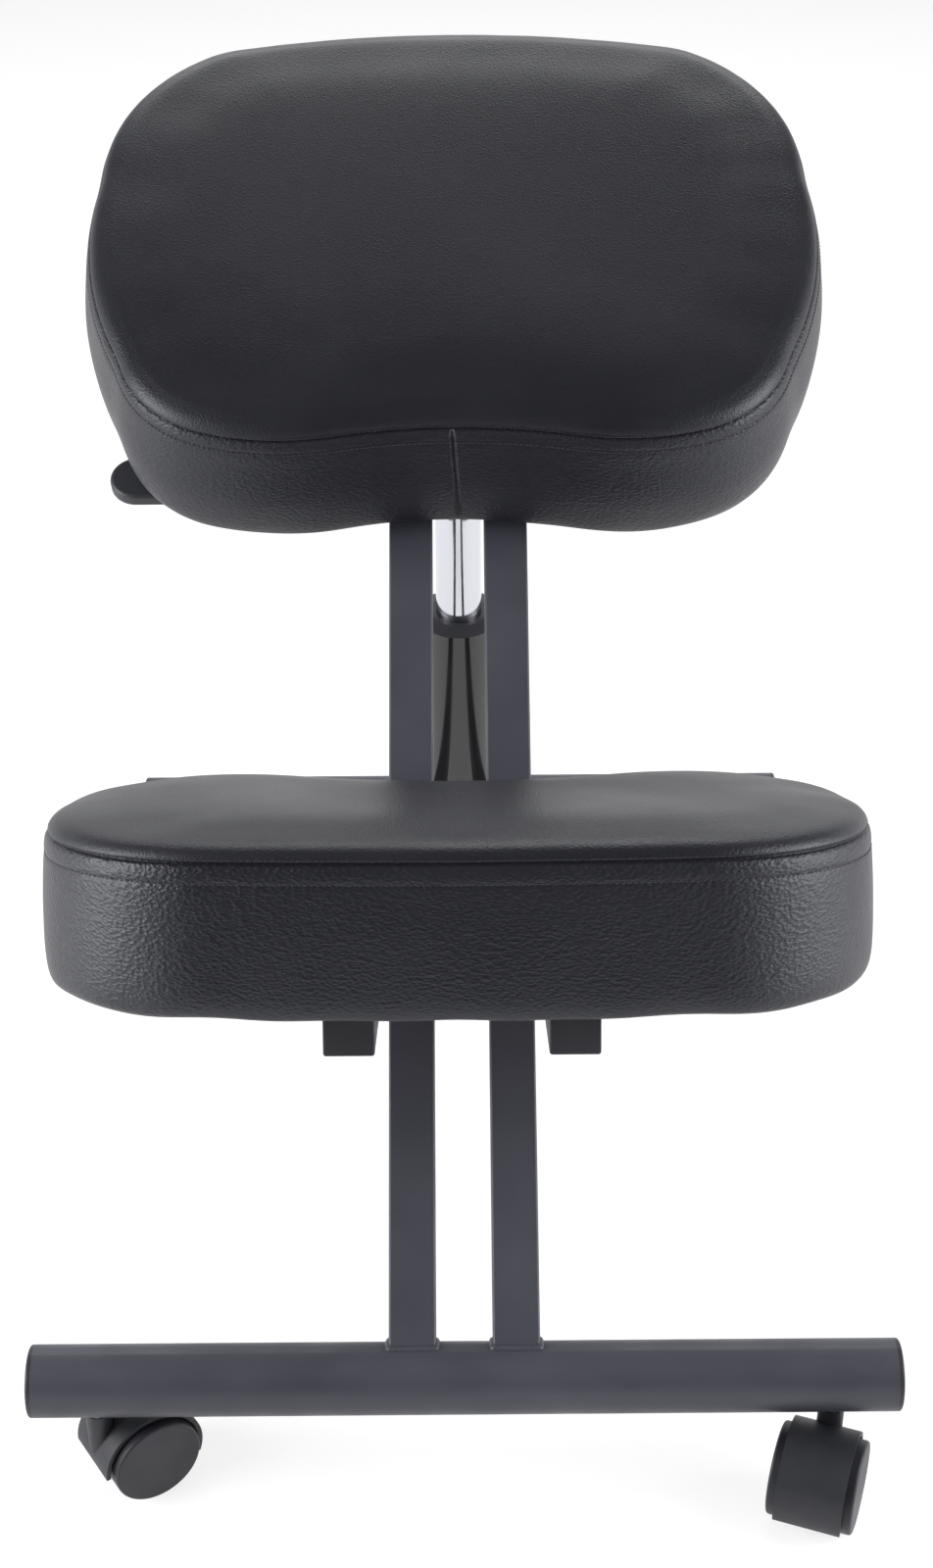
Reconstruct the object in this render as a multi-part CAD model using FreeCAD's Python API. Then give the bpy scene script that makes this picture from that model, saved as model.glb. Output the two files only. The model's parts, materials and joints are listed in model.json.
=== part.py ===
import FreeCAD, Part
import math
import os

# Kneeling chair on four twin-wheel casters, in millimetres.
# The sitter faces -Y. Z is up from the floor, and the origin is on the floor below the middle of the chair.
# Two crossed frames of square tube share one pivot, and a gas lift between them holds the seat's height.

os.makedirs("parts", exist_ok=True)

V = FreeCAD.Vector
X_AXIS = V(1, 0, 0)
Y_AXIS = V(0, 1, 0)
Z_AXIS = V(0, 0, 1)

# Clearances, and how far a cutting shape runs past the face that it opens
running = 0.05
seated = 0.02
washer_play = 0.1
past = 1.0

# Cross tubes on the casters
wheelbase = 570.0
cross_tube_length = 460.0
cross_tube_d = 38.0
cross_tube_wall = 1.5
cross_tube_height = 80.0
cap_lip = 2.6
cap_insert = 18.0
cap_wall = 2.0
cap_edge = 1.2

# Square arms
arm_size = 25.0
arm_wall = 1.5
arm_corner = 1.5
seat_arm_gap = 30.0
arm_side_gap = 2.0
seat_arm_angle = 42.2
knee_arm_angle = 22.0
knee_arm_reach = 563.0
plug_lip = 3.0
plug_insert = 16.0
plug_wall = 2.0
plug_edge = 1.0

# Scissor pivot
pivot_bolt_d = 10.0
bush_d = 14.0
bush_flange_d = 24.0
spacer_wall = 2.5
bolt_head_ratio = 1.6
bolt_head_height_ratio = 0.64
hexagon_rounding = 1.06
nut_height_ratio = 0.95
washer_ratio = 2.1
washer_thickness = 1.8
thread_end = 3.0

# Gas lift
lift_pin_distance = 275.0
lift_tube_d = 50.0
lift_tube_wall = 1.6
lift_tube_start = 16.0
lift_tube_end = 194.0
lift_cylinder_d = 28.0
lift_cylinder_wall = 1.6
lift_cylinder_reach = 195.0
lift_bush_length = 38.0
lift_bush_lip = 3.0
lift_rod_d = 10.0
lift_piston_length = 10.0
lift_piston_above_end = 14.0
lift_gland_length = 9.0
lift_foot_plate = 8.0
lift_eye_d = 26.0
lift_eye_width = 28.0
lift_pin_d = 10.0
lift_head_d = 27.0
lift_head_below = 16.0
lift_head_above = 5.9
trunnion_d = 8.0
trunnion_slack = 0.6
trunnion_inner_x = 6.0
valve_d = 6.0
valve_top = 10.4
valve_bottom = -4.0
valve_travel = 2.8
valve_edge = 1.0

# Seat, on its own slope
seat_slope = 25.0
seat_front_y = 305.0
seat_front_z = 483.0
seat_thickness = 64.0
seat_crown = 13.0
seat_half_width = 213.0
seat_depth = 334.0
seat_skirt = 8.0
seat_round_inset = 45.0
seat_flat_inset = 80.0
seat_board_inset = 14.0
knee_board_inset = 14.0
board_thickness = 12.0
board_edge = 1.0

# Lower edge of both covers: how far it turns in, and the heights where the turn ends and where it is widest
cover_turn_in = 5.0
cover_turn_up = 7.0
cover_widest = 18.0

# Seat brackets and the arms' cut ends, as depths below the seat board
bracket_plate = 3.0
bracket_flange = 30.0
bracket_depth = 32.0
bracket_start = 12.0
bracket_nose_depth = 14.0
bracket_full_depth_at = 38.0
bracket_length = 236.0
bracket_tail_depth = 16.0
bracket_tail_start = 120.0
arm_cut_depth = 14.0

# Release lever
lever_depth = 8.5
lever_rod_d = 7.0
lever_pivot_x = -53.0
lever_tongue_thickness = 3.0
lever_tongue_width = 12.0
lever_tongue_start = -38.0
lever_tongue_end = 7.0
lever_bend_start = -76.0
lever_bend_end = -122.0
paddle_line = 47.0
paddle_depth = 24.0
paddle_tip_x = -205.0
paddle_length = 62.0
paddle_width = 31.0
paddle_thickness = 9.0
paddle_edge = 2.4
lever_pin_d = 4.0
rivet_head_d = 6.8
rivet_head = 1.0
lever_ear_thickness = 2.0
lever_ear_width = 12.0
lever_slot_width = 15.0
lever_slot_depth = 14.0

# Knee pad, on the slope of its arms
pad_front_reach = 16.0
pad_thickness = 75.0
pad_crown = 12.0
pad_half_width = 207.0
pad_depth = 203.0
pad_skirt = 3.0
pad_flat_inset = 45.0

# Board fasteners
board_bolt_d = 6.0
insert_d = 9.0
insert_length = 10.0
seat_bolt_lines = (70.0, 205.0)
pad_bolt_lines = (52.0, 150.0)
bolt_end = 9.0

# Casters
wheel_d = 50.0
wheel_inner_x = 8.0
wheel_outer_x = 23.0
wheel_edge = 1.6
wheel_inner_edge = 0.8
wheel_hub_d = 16.0
wheel_rim = 4.0
wheel_web = 5.0
caster_trail = 22.0
caster_inset = 34.0
hood_gap = 1.4
hood_wall = 2.4
hood_half_width = 18.0
hood_front_angle = 182.0
hood_back_angle = -22.0
hood_web = 5.0
hood_neck_d = 14.0
hood_neck_foot = 31.0
hood_top_gap = 2.6
axle_d = 6.0
axle_hub_d = 12.0
stem_d = 11.0
stem_pin_d = 8.0
stem_collar_d = 13.0
stem_collar = 2.0
stem_pin_length = 20.0
stem_up = 34.0
socket_wall = 1.8
caster_turns = {
    "front_left": 33.0,
    "front_right": 250.0,
    "rear_left": 70.0,
    "rear_right": 97.0,
}

# Places worked out from the sizes above
mid_y = wheelbase / 2
front_axis = V(0, -mid_y, cross_tube_height)
rear_axis = V(0, mid_y, cross_tube_height)
cross_tube_r = cross_tube_d / 2
caster_x = cross_tube_length / 2 - caster_inset
seat_arm_x = (seat_arm_gap + arm_size) / 2
seat_arm_outer = seat_arm_gap / 2 + arm_size
knee_arm_inner = seat_arm_outer + arm_side_gap
knee_arm_x = knee_arm_inner + arm_size / 2
knee_arm_outer = knee_arm_inner + arm_size
seat_tan = math.tan(math.radians(seat_arm_angle))
knee_tan = math.tan(math.radians(knee_arm_angle))
pivot_run = wheelbase * knee_tan / (seat_tan + knee_tan)
pivot = front_axis + V(0, pivot_run, pivot_run * seat_tan)
seat_arm_way = V(0, math.cos(math.radians(seat_arm_angle)), math.sin(math.radians(seat_arm_angle)))
knee_arm_way = V(0, -math.cos(math.radians(knee_arm_angle)), math.sin(math.radians(knee_arm_angle)))
lift_top = pivot + seat_arm_way * lift_pin_distance
lift_foot = pivot - knee_arm_way * lift_pin_distance
lift_length = (lift_top - lift_foot).Length
lift_way = (lift_top - lift_foot).normalize()
lift_lean = math.degrees(math.atan2(-lift_way.y, lift_way.z))
seat_origin = V(0, seat_front_y - mid_y, seat_front_z)


def export(name, shapes):
    """Write one node: a single solid, or several solids that share it."""
    solids = []
    for shape in shapes:
        solids.extend(shape.Solids)
    node = solids[0] if len(solids) == 1 else Part.makeCompound(solids)
    node.exportStep("parts/" + name + ".step")


def on_slope(shape, origin, angle):
    """Turn a shape about X by the slope's angle and carry it to the slope's origin."""
    placed = shape.copy()
    placed.rotate(V(0, 0, 0), X_AXIS, angle)
    placed.translate(origin)
    return placed


def rod_x(radius, x_from, x_to, centre):
    """Round bar along X."""
    return Part.makeCylinder(radius, x_to - x_from, V(x_from, centre.y, centre.z), X_AXIS)


def mirrored(shape):
    """The same piece on the other side of the chair."""
    return shape.mirror(V(0, 0, 0), X_AXIS)


def square_bar(size, corner, length):
    """Square bar along Y from the origin, centred on X and Z, with rounded long edges."""
    bar = Part.makeBox(size, length, size, V(-size / 2, 0, -size / 2))
    long_edges = []
    for edge in bar.Edges:
        if abs(edge.tangentAt(edge.FirstParameter).y) > 0.9:
            long_edges.append(edge)
    return bar.makeFillet(corner, long_edges)


def square_tube(length):
    """The arms' hollow section along Y."""
    inner_size = arm_size - 2 * arm_wall
    outer = square_bar(arm_size, arm_corner, length)
    inner = square_bar(inner_size, arm_corner / 2, length + 2 * past)
    inner.translate(V(0, -past, 0))
    return outer.cut(inner)


def arc_wire(points, height, scale_x, scale_y, centre_y):
    """Closed outline of arcs; every second point is an arc's middle."""
    placed = []
    for x, y in points:
        placed.append(V(x * scale_x, centre_y + (y - centre_y) * scale_y, height))
    edges = []
    count = len(placed)
    for start in range(0, count, 2):
        arc = Part.Arc(placed[start], placed[start + 1], placed[(start + 2) % count])
        edges.append(arc.toShape())
    return Part.Wire(edges)


def both_sides(half):
    """Complete a right-hand list of outline points with its mirror image, round from front to back."""
    left = []
    for x, y in reversed(half):
        left.append((-x, y))
    return half + left


def cushion(points, half_width, depth, sections):
    """Closed cushion lofted through outlines; each section is a height and how far it stands out."""
    centre_y = depth / 2
    wires = []
    for height, out in sections:
        scale_x = (half_width + out) / half_width
        scale_y = (depth / 2 + out) / (depth / 2)
        wires.append(arc_wire(points, height, scale_x, scale_y, centre_y))
    return Part.makeLoft(wires, True, True)


def board(points, half_width, depth, inset, bottom, thickness):
    """Plywood board with the cushion's outline, drawn in by an inset."""
    scale_x = (half_width - inset) / half_width
    scale_y = (depth / 2 - inset) / (depth / 2)
    face = Part.Face(arc_wire(points, bottom, scale_x, scale_y, depth / 2))
    return face.extrude(V(0, 0, thickness))


def cross_tube(centre):
    """Round tube along X with the bores for the caster sockets in its underside."""
    half = cross_tube_length / 2 - cap_lip
    tube = rod_x(cross_tube_r, -half, half, centre)
    tube = tube.cut(rod_x(cross_tube_r - cross_tube_wall, -half - past, half + past, centre))
    for side in (-1, 1):
        tube = tube.cut(socket_bore(V(side * caster_x, centre.y, 0)))
    return tube


def socket_radius():
    return stem_d / 2 + seated + socket_wall


def socket_bore(place):
    """Cut for a caster socket, from below the tube to its middle."""
    low = cross_tube_height - cross_tube_d
    return Part.makeCylinder(socket_radius() + seated, cross_tube_d, V(place.x, place.y, low), Z_AXIS)


def caster_socket(place):
    """Steel sleeve that stands across the tube and grips a caster's stem."""
    low = cross_tube_height - cross_tube_r
    inside = cross_tube_r - cross_tube_wall
    top = cross_tube_height + math.sqrt(inside ** 2 - socket_radius() ** 2) - seated
    sleeve = Part.makeCylinder(socket_radius(), top - low, V(place.x, place.y, low), Z_AXIS)
    bore = Part.makeCylinder(stem_d / 2 + seated, top - low + 2 * past, V(place.x, place.y, low - past), Z_AXIS)
    return sleeve.cut(bore)


def tube_cap(centre):
    """Plastic end cap of the round tube at +X, with a hollow plug."""
    half = cross_tube_length / 2
    lip = rod_x(cross_tube_r, half - cap_lip, half, centre)
    outer_edges = []
    for edge in lip.Edges:
        if edge.BoundBox.XMin > half - 0.01:
            outer_edges.append(edge)
    lip = lip.makeFillet(cap_edge, outer_edges)
    plug_r = cross_tube_r - cross_tube_wall - seated
    plug = rod_x(plug_r, half - cap_lip - cap_insert, half - cap_lip, centre)
    hollow = rod_x(plug_r - cap_wall, half - cap_lip - cap_insert - past, half - cap_lip - cap_wall, centre)
    return lip.fuse(plug.cut(hollow))


def bolt_x(d, x_from, x_to, centre):
    """Hexagon bolt along X: its head ends at x_from, and its shank ends at x_to."""
    head_height = d * bolt_head_height_ratio
    head = hexagon(d * bolt_head_ratio, head_height)
    head.rotate(V(0, 0, 0), Y_AXIS, 90)
    way = 1 if x_to > x_from else -1
    low = min(x_from, x_from - way * head_height)
    head.translate(V(low, centre.y, centre.z))
    return head.fuse(rod_x(d / 2, min(x_from, x_to), max(x_from, x_to), centre))


def hexagon(across_flats, height):
    """Hexagonal prism along Z with a slightly rounded top and bottom."""
    corner_r = across_flats / math.sqrt(3)
    points = []
    for corner in range(7):
        turn = math.radians(60 * corner)
        points.append(V(corner_r * math.cos(turn), corner_r * math.sin(turn), 0))
    prism = Part.Face(Part.makePolygon(points)).extrude(V(0, 0, height))
    cone_r = across_flats / 2 * hexagon_rounding
    trim = Part.makeCone(cone_r + height, cone_r, height, V(0, 0, 0), Z_AXIS)
    return prism.common(trim)


def nut_x(d, x_from, way, centre):
    """Hexagon nut along X that bears at x_from and lies towards way."""
    height = d * nut_height_ratio
    nut = hexagon(d * bolt_head_ratio, height)
    nut = nut.cut(Part.makeCylinder(d / 2 + seated, height + 2 * past, V(0, 0, -past), Z_AXIS))
    nut.rotate(V(0, 0, 0), Y_AXIS, 90)
    nut.translate(V(min(x_from, x_from + way * height), centre.y, centre.z))
    return nut


def ring_x(outer_r, inner_r, x_from, x_to, centre):
    """Washer, bush or spacer along X."""
    ring = rod_x(outer_r, x_from, x_to, centre)
    return ring.cut(rod_x(inner_r, x_from - past, x_to + past, centre))


def fastener_head(d):
    return d * bolt_head_height_ratio


def arm(origin, way_angle, length):
    """One square arm that starts at a cross tube's axis, coped round that tube."""
    tube = on_slope(square_tube(length), V(0, origin.y, origin.z), way_angle)
    return tube.cut(rod_x(cross_tube_r, -arm_size, arm_size, origin))


def seat_point(line, depth):
    """Point on the middle plane, by its place along the seat's slope and its depth below the board."""
    local = V(0, line, -seat_thickness - depth)
    turn = FreeCAD.Rotation(X_AXIS, seat_slope)
    return seat_origin + turn.multVec(local)


def seat_line(point):
    """How far along the seat's slope a point lies."""
    turn = FreeCAD.Rotation(X_AXIS, -seat_slope)
    return turn.multVec(point - seat_origin).y


def seat_arm(x):
    """Inner arm, from the front cross tube up to the seat, cut off parallel to the seat board."""
    length = 2 * lift_pin_distance + cross_tube_length / 2
    tube = arm(front_axis, seat_arm_angle, length)
    above = Part.makeBox(4 * arm_size, 4 * length, length, V(-2 * arm_size, -2 * length, 0))
    above.translate(V(0, 0, -seat_thickness - arm_cut_depth))
    tube = tube.cut(on_slope(above, seat_origin, seat_slope))
    tube = tube.cut(rod_x(bush_d / 2 + seated, -arm_size, arm_size, pivot))
    tube = tube.cut(rod_x(trunnion_d / 2 + seated, -arm_size, arm_size, lift_top))
    tube.translate(V(x, 0, 0))
    return tube


def knee_arm_length():
    return knee_arm_reach / math.cos(math.radians(knee_arm_angle))


def knee_arm(x, side):
    """Outer arm, from the rear cross tube forward and up to the knee pad."""
    tube = arm(rear_axis, 180 - knee_arm_angle, knee_arm_length())
    tube = tube.cut(rod_x(pivot_bolt_d / 2 + seated, -arm_size, arm_size, pivot))
    tube = tube.cut(rod_x(lift_pin_d / 2 + seated, -arm_size, arm_size, lift_foot))
    tube.translate(V(x, 0, 0))
    for line in pad_bolt_lines:
        tube = tube.cut(pad_bolt_bar(side, line, board_bolt_d / 2 + seated, 2 * arm_size))
    return tube


def arm_plug(x):
    """Plastic plug in the open front end of a knee arm."""
    lip = square_bar(arm_size, arm_corner, plug_lip)
    front_edges = []
    for edge in lip.Edges:
        if edge.BoundBox.YMin > plug_lip - 0.01:
            front_edges.append(edge)
    lip = lip.makeFillet(plug_edge, front_edges)
    inner = arm_size - 2 * arm_wall - 2 * seated
    body = square_bar(inner, arm_corner / 2, plug_insert)
    body = body.cut(square_bar(inner - 2 * plug_wall, arm_corner / 4, plug_insert - plug_wall))
    body.translate(V(0, -plug_insert, 0))
    plug = lip.fuse(body)
    plug.translate(V(0, knee_arm_length(), 0))
    plug = on_slope(plug, rear_axis, 180 - knee_arm_angle)
    plug.translate(V(x, 0, 0))
    return plug


# The knee pad's slope starts at its front bottom edge and falls towards the rear cross tube.
pad_turn = -knee_arm_angle
pad_front_y = front_axis.y - pad_front_reach
arm_rise = arm_size / 2 / math.cos(math.radians(knee_arm_angle))
pad_bottom_z = cross_tube_height + (rear_axis.y - pad_front_y) * knee_tan + arm_rise
pad_origin = V(0, pad_front_y, pad_bottom_z)


def on_pad(shape):
    return on_slope(shape, pad_origin, pad_turn)


def on_seat(shape):
    """Carry a shape drawn below the seat board's underside to the seat's slope."""
    lowered = shape.copy()
    lowered.translate(V(0, 0, -seat_thickness))
    return on_slope(lowered, seat_origin, seat_slope)


def pad_bolt_bar(side, line, radius, reach):
    """Bar on the axis of a knee pad bolt, from below the arm up into the board."""
    bar = Part.makeCylinder(radius, reach, V(side * knee_arm_x, line, bolt_end - reach), Z_AXIS)
    return on_pad(bar)


# Outlines of the two cushions' right halves, from the middle of the front to the middle of the back.
# The points are places across and along the slope, and every second point is an arc's middle.
seat_outline_half = [
    (62.0, 0.5),
    (105.0, -3.0),
    (140.0, 3.0),
    (173.0, 23.0),
    (191.0, 58.0),
    (seat_half_width, 130.0),
    (211.0, 205.0),
    (191.0, 273.0),
    (140.0, 316.0),
]
pad_outline_half = [
    (112.0, 5.0),
    (175.0, 30.0),
    (204.0, 82.0),
    (pad_half_width, 103.0),
    (204.0, 124.0),
    (180.0, 177.0),
    (123.0, pad_depth),
    (99.0, 201.0),
    (76.0, 193.0),
]
seat_front_dip = 6.0
pad_rear_dip = 176.0


def ring_of_points(half, front_y, back_y):
    """Whole outline: it starts at the right end of the front arc, and each middle point follows its start."""
    left = []
    for x, y in reversed(half):
        left.append((-x, y))
    return half + [(0.0, back_y)] + left + [(0.0, front_y)]


seat_outline = ring_of_points(seat_outline_half, seat_front_dip, seat_depth)
pad_outline = ring_of_points(pad_outline_half, 0.0, pad_rear_dip)


def seat_cushion():
    """Seat foam and cover: crowned top, drawn in at the seam, with a pocket below for the board."""
    sections = [
        (-seat_thickness, seat_skirt - cover_turn_in),
        (-seat_thickness + cover_turn_up, seat_skirt - 1),
        (-seat_thickness + cover_widest, seat_skirt),
        (-seat_thickness / 2, seat_skirt - 1),
        (-seat_thickness / 5, seat_skirt / 2),
        (0, 0),
        (seat_crown * 0.4, -2.5),
        (seat_crown * 0.68, -9),
        (seat_crown * 0.86, -22),
        (seat_crown * 0.96, -seat_round_inset),
        (seat_crown, -seat_flat_inset),
    ]
    body = cushion(seat_outline, seat_half_width, seat_depth, sections)
    low = -seat_thickness - past
    pocket = board(seat_outline, seat_half_width, seat_depth, seat_board_inset, low, board_thickness + past)
    return on_slope(body.cut(pocket), seat_origin, seat_slope)


def seat_board():
    """Plywood board let into the seat cushion's underside."""
    plate = board(seat_outline, seat_half_width, seat_depth, seat_board_inset + seated, 0, board_thickness)
    for side in (-1, 1):
        for line in seat_bolt_lines:
            plate = plate.cut(seat_bar(side, line, insert_d / 2 + seated, 0, insert_length + seated))
    return on_seat(plate)


def seat_bar(side, line, radius, low, high):
    """Bar on the axis of a seat bolt, in the frame of the board's underside."""
    x = side * (seat_arm_outer + (bracket_plate + bracket_flange) / 2)
    return Part.makeCylinder(radius, high - low, V(x, line, low), Z_AXIS)


def pad_cushion():
    """Knee pad foam and cover, with a pocket below for its board."""
    sections = [
        (0, pad_skirt - cover_turn_in),
        (cover_turn_up, pad_skirt - 1),
        (cover_widest, pad_skirt),
        (pad_thickness * 0.6, pad_skirt),
        (pad_thickness - 8, pad_skirt / 2),
        (pad_thickness, 0),
        (pad_thickness + pad_crown * 0.45, -2.5),
        (pad_thickness + pad_crown * 0.72, -8),
        (pad_thickness + pad_crown * 0.9, -20),
        (pad_thickness + pad_crown, -pad_flat_inset),
    ]
    body = cushion(pad_outline, pad_half_width, pad_depth, sections)
    pocket = board(pad_outline, pad_half_width, pad_depth, knee_board_inset, -past, board_thickness + past)
    return on_pad(body.cut(pocket))


def pad_board():
    """Plywood board that lies on the knee arms."""
    plate = board(pad_outline, pad_half_width, pad_depth, knee_board_inset + seated, 0, board_thickness)
    plate = on_pad(plate)
    for side in (-1, 1):
        for line in pad_bolt_lines:
            hole = Part.makeCylinder(insert_d / 2 + seated, insert_length + seated, V(side * knee_arm_x, line, 0))
            plate = plate.cut(on_pad(hole))
    return plate


def insert(x, line):
    """Threaded insert that a board bolt screws into."""
    sleeve = Part.makeCylinder(insert_d / 2, insert_length, V(x, line, 0))
    return sleeve.cut(Part.makeCylinder(board_bolt_d / 2 + seated, insert_length + 2 * past, V(x, line, -past)))


def upright_bolt(x, line, bearing, top):
    """Hexagon bolt that points up: its head is below the bearing face."""
    head_height = fastener_head(board_bolt_d)
    head = hexagon(board_bolt_d * bolt_head_ratio, head_height)
    head.translate(V(x, line, bearing - head_height))
    return head.fuse(Part.makeCylinder(board_bolt_d / 2, top - bearing, V(x, line, bearing)))


def seat_bracket(side):
    """Steel angle below the seat board, fixed to an arm's outer side."""
    inner = seat_arm_outer
    flat = Part.makeBox(bracket_flange + bracket_plate, bracket_length, bracket_plate)
    flat.translate(V(inner, bracket_start, -bracket_plate))
    end = bracket_start + bracket_length
    outline = [
        V(inner, bracket_start, -bracket_plate / 2),
        V(inner, bracket_start, -bracket_nose_depth),
        V(inner, bracket_full_depth_at, -bracket_depth),
        V(inner, bracket_tail_start, -bracket_depth),
        V(inner, end, -bracket_tail_depth),
        V(inner, end, -bracket_plate / 2),
    ]
    outline.append(outline[0])
    upright = Part.Face(Part.makePolygon(outline)).extrude(V(bracket_plate, 0, 0))
    angle = flat.fuse(upright).removeSplitter()
    for line in seat_bolt_lines:
        angle = angle.cut(seat_bar(1, line, board_bolt_d / 2 + seated, -2 * bracket_plate, past))
    angle = on_seat(angle)
    angle = angle.cut(rod_x(trunnion_d / 2 + seated, inner - past, inner + bracket_plate + past, lift_top))
    if side > 0:
        return angle
    angle = mirrored(angle)
    slot = Part.makeBox(2 * bracket_plate, lever_slot_width, lever_slot_depth - bracket_plate - seated)
    slot.translate(V(-inner - 1.5 * bracket_plate, lever_line - lever_slot_width / 2, -lever_slot_depth))
    return angle.cut(on_seat(slot))


valve_point = lift_top + lift_way * valve_top
lever_line = seat_line(valve_point)


def lever_rod():
    """Cranked steel rod: a flat tongue above the valve, a pivot hole, a crank and a straight end."""
    r = lever_rod_d / 2
    inner = V(lever_tongue_start, lever_line, -lever_depth)
    bend = V(lever_bend_start, lever_line, -lever_depth)
    low = V(lever_bend_end, paddle_line, -paddle_depth)
    end = V(paddle_tip_x + paddle_width / 2, paddle_line, -paddle_depth)
    rod = Part.makeSphere(r, bend).fuse(Part.makeSphere(r, low))
    for start, stop in ((inner, bend), (bend, low), (low, end)):
        rod = rod.fuse(Part.makeCylinder(r, (stop - start).Length, start, stop - start))
    tongue = Part.makeBox(lever_tongue_end - lever_tongue_start, lever_tongue_width, lever_tongue_thickness)
    tongue_low = -lever_depth - lever_tongue_thickness / 2
    tongue.translate(V(lever_tongue_start, lever_line - lever_tongue_width / 2, tongue_low))
    rod = rod.fuse(tongue)
    hole_start = V(lever_pivot_x, lever_line - lever_rod_d, -lever_depth)
    rod = rod.cut(Part.makeCylinder(lever_pin_d / 2 + running, 2 * lever_rod_d, hole_start, Y_AXIS))
    return on_seat(rod)


def lever_paddle():
    """Flat plastic paddle with round ends, pushed onto the rod."""
    r = paddle_width / 2
    tip = V(paddle_tip_x + r, paddle_line, -paddle_depth - paddle_thickness / 2)
    root = tip + V(paddle_length - paddle_width, 0, 0)
    plate = Part.makeCylinder(r, paddle_thickness, tip)
    plate = plate.fuse(Part.makeCylinder(r, paddle_thickness, root))
    middle = Part.makeBox(paddle_length - paddle_width, paddle_width, paddle_thickness, tip - V(0, r, 0))
    plate = plate.fuse(middle).removeSplitter()
    rim = []
    for edge in plate.Edges:
        if edge.BoundBox.ZLength < 0.01:
            rim.append(edge)
    plate = plate.makeFillet(paddle_edge, rim)
    bore = rod_x(lever_rod_d / 2 + seated, tip.x - seated, 0, V(0, paddle_line, -paddle_depth))
    return on_seat(plate.cut(bore))


def lever_bracket():
    """Two ears under the left seat bracket that hold the lever's pin."""
    ear_gap = lever_rod_d + 4 * washer_play
    low = -lever_depth - lever_pin_d
    ears = []
    for way in (-1, 1):
        start = lever_line + way * (ear_gap + lever_ear_thickness) / 2 - lever_ear_thickness / 2
        ear = Part.makeBox(lever_ear_width, lever_ear_thickness, -bracket_plate - low)
        ear.translate(V(lever_pivot_x - lever_ear_width / 2, start, low))
        hole = Part.makeCylinder(lever_pin_d / 2 + seated, 4 * ear_gap, V(lever_pivot_x, 0, -lever_depth), Y_AXIS)
        hole.translate(V(0, lever_line - 2 * ear_gap, 0))
        ears.append(on_seat(ear.cut(hole)))
    return ears


def lever_pin():
    """Rivet through the lever bracket's ears and the rod."""
    half = lever_rod_d / 2 + 2 * washer_play + lever_ear_thickness
    pin = Part.makeCylinder(lever_pin_d / 2, 2 * half, V(lever_pivot_x, lever_line - half, -lever_depth), Y_AXIS)
    for way in (-1, 1):
        face = lever_line + way * half
        start = V(lever_pivot_x, min(face, face + way * rivet_head), -lever_depth)
        pin = pin.fuse(Part.makeCylinder(rivet_head_d / 2, rivet_head, start, Y_AXIS))
    return on_seat(pin)


def on_lift(shape):
    """Carry a shape drawn upright from the foot pin to the gas lift's leaning axis."""
    return on_slope(shape, lift_foot, lift_lean)


def lift_outer_tube():
    """Black outer tube of the gas lift."""
    r = lift_tube_d / 2
    height = lift_tube_end - lift_tube_start
    tube = Part.makeCylinder(r, height, V(0, 0, lift_tube_start))
    tube = tube.cut(Part.makeCylinder(r - lift_tube_wall, height + 2 * past, V(0, 0, lift_tube_start - past)))
    return on_lift(tube)


def lift_foot_eye():
    """Steel foot: a disc that closes the tube, and an eye for the foot bolt."""
    disc_r = lift_tube_d / 2 - lift_tube_wall
    disc = Part.makeCylinder(disc_r, lift_foot_plate, V(0, 0, lift_tube_start))
    half = lift_eye_width / 2
    eye = rod_x(lift_eye_d / 2, -half, half, V(0, 0, 0))
    shank = Part.makeBox(lift_eye_width, lift_eye_d, lift_tube_start, V(-half, -lift_eye_d / 2, 0))
    foot = disc.fuse(eye).fuse(shank).removeSplitter()
    foot = foot.cut(rod_x(lift_pin_d / 2 + running, -half - past, half + past, V(0, 0, 0)))
    foot = foot.cut(Part.makeCylinder(lift_rod_d / 2 + seated, lift_foot_plate, V(0, 0, lift_rod_foot)))
    return on_lift(foot)


lift_rod_foot = lift_tube_start + lift_foot_plate / 2
cylinder_end = lift_length - lift_cylinder_reach
cylinder_bore = lift_cylinder_d / 2 - lift_cylinder_wall
piston_low = cylinder_end + lift_gland_length + lift_piston_above_end


def lift_guide_bush():
    """Plastic bush in the outer tube's mouth that guides the chrome cylinder."""
    r = lift_tube_d / 2 - lift_tube_wall - seated
    low = lift_tube_end - lift_bush_length
    bush = Part.makeCylinder(r, lift_bush_length, V(0, 0, low))
    lip = Part.makeCone(lift_tube_d / 2, lift_cylinder_d / 2 + lift_bush_lip, lift_bush_lip, V(0, 0, lift_tube_end))
    bush = bush.fuse(lip)
    bore = Part.makeCylinder(lift_cylinder_d / 2 + running, lift_length, V(0, 0, 0))
    return on_lift(bush.cut(bore))


def lift_piston_rod():
    """Piston rod that stands on the foot, with its piston inside the cylinder."""
    rod = Part.makeCylinder(lift_rod_d / 2, piston_low - lift_rod_foot, V(0, 0, lift_rod_foot))
    piston = Part.makeCylinder(cylinder_bore - running, lift_piston_length, V(0, 0, piston_low))
    return on_lift(rod.fuse(piston))


def lift_cylinder():
    """Chrome pressure cylinder, open at both ends for the gland and the head."""
    top = lift_length - lift_head_below
    tube = Part.makeCylinder(lift_cylinder_d / 2, top - cylinder_end, V(0, 0, cylinder_end))
    bore = Part.makeCylinder(cylinder_bore, top - cylinder_end + 2 * past, V(0, 0, cylinder_end - past))
    return on_lift(tube.cut(bore))


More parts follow.
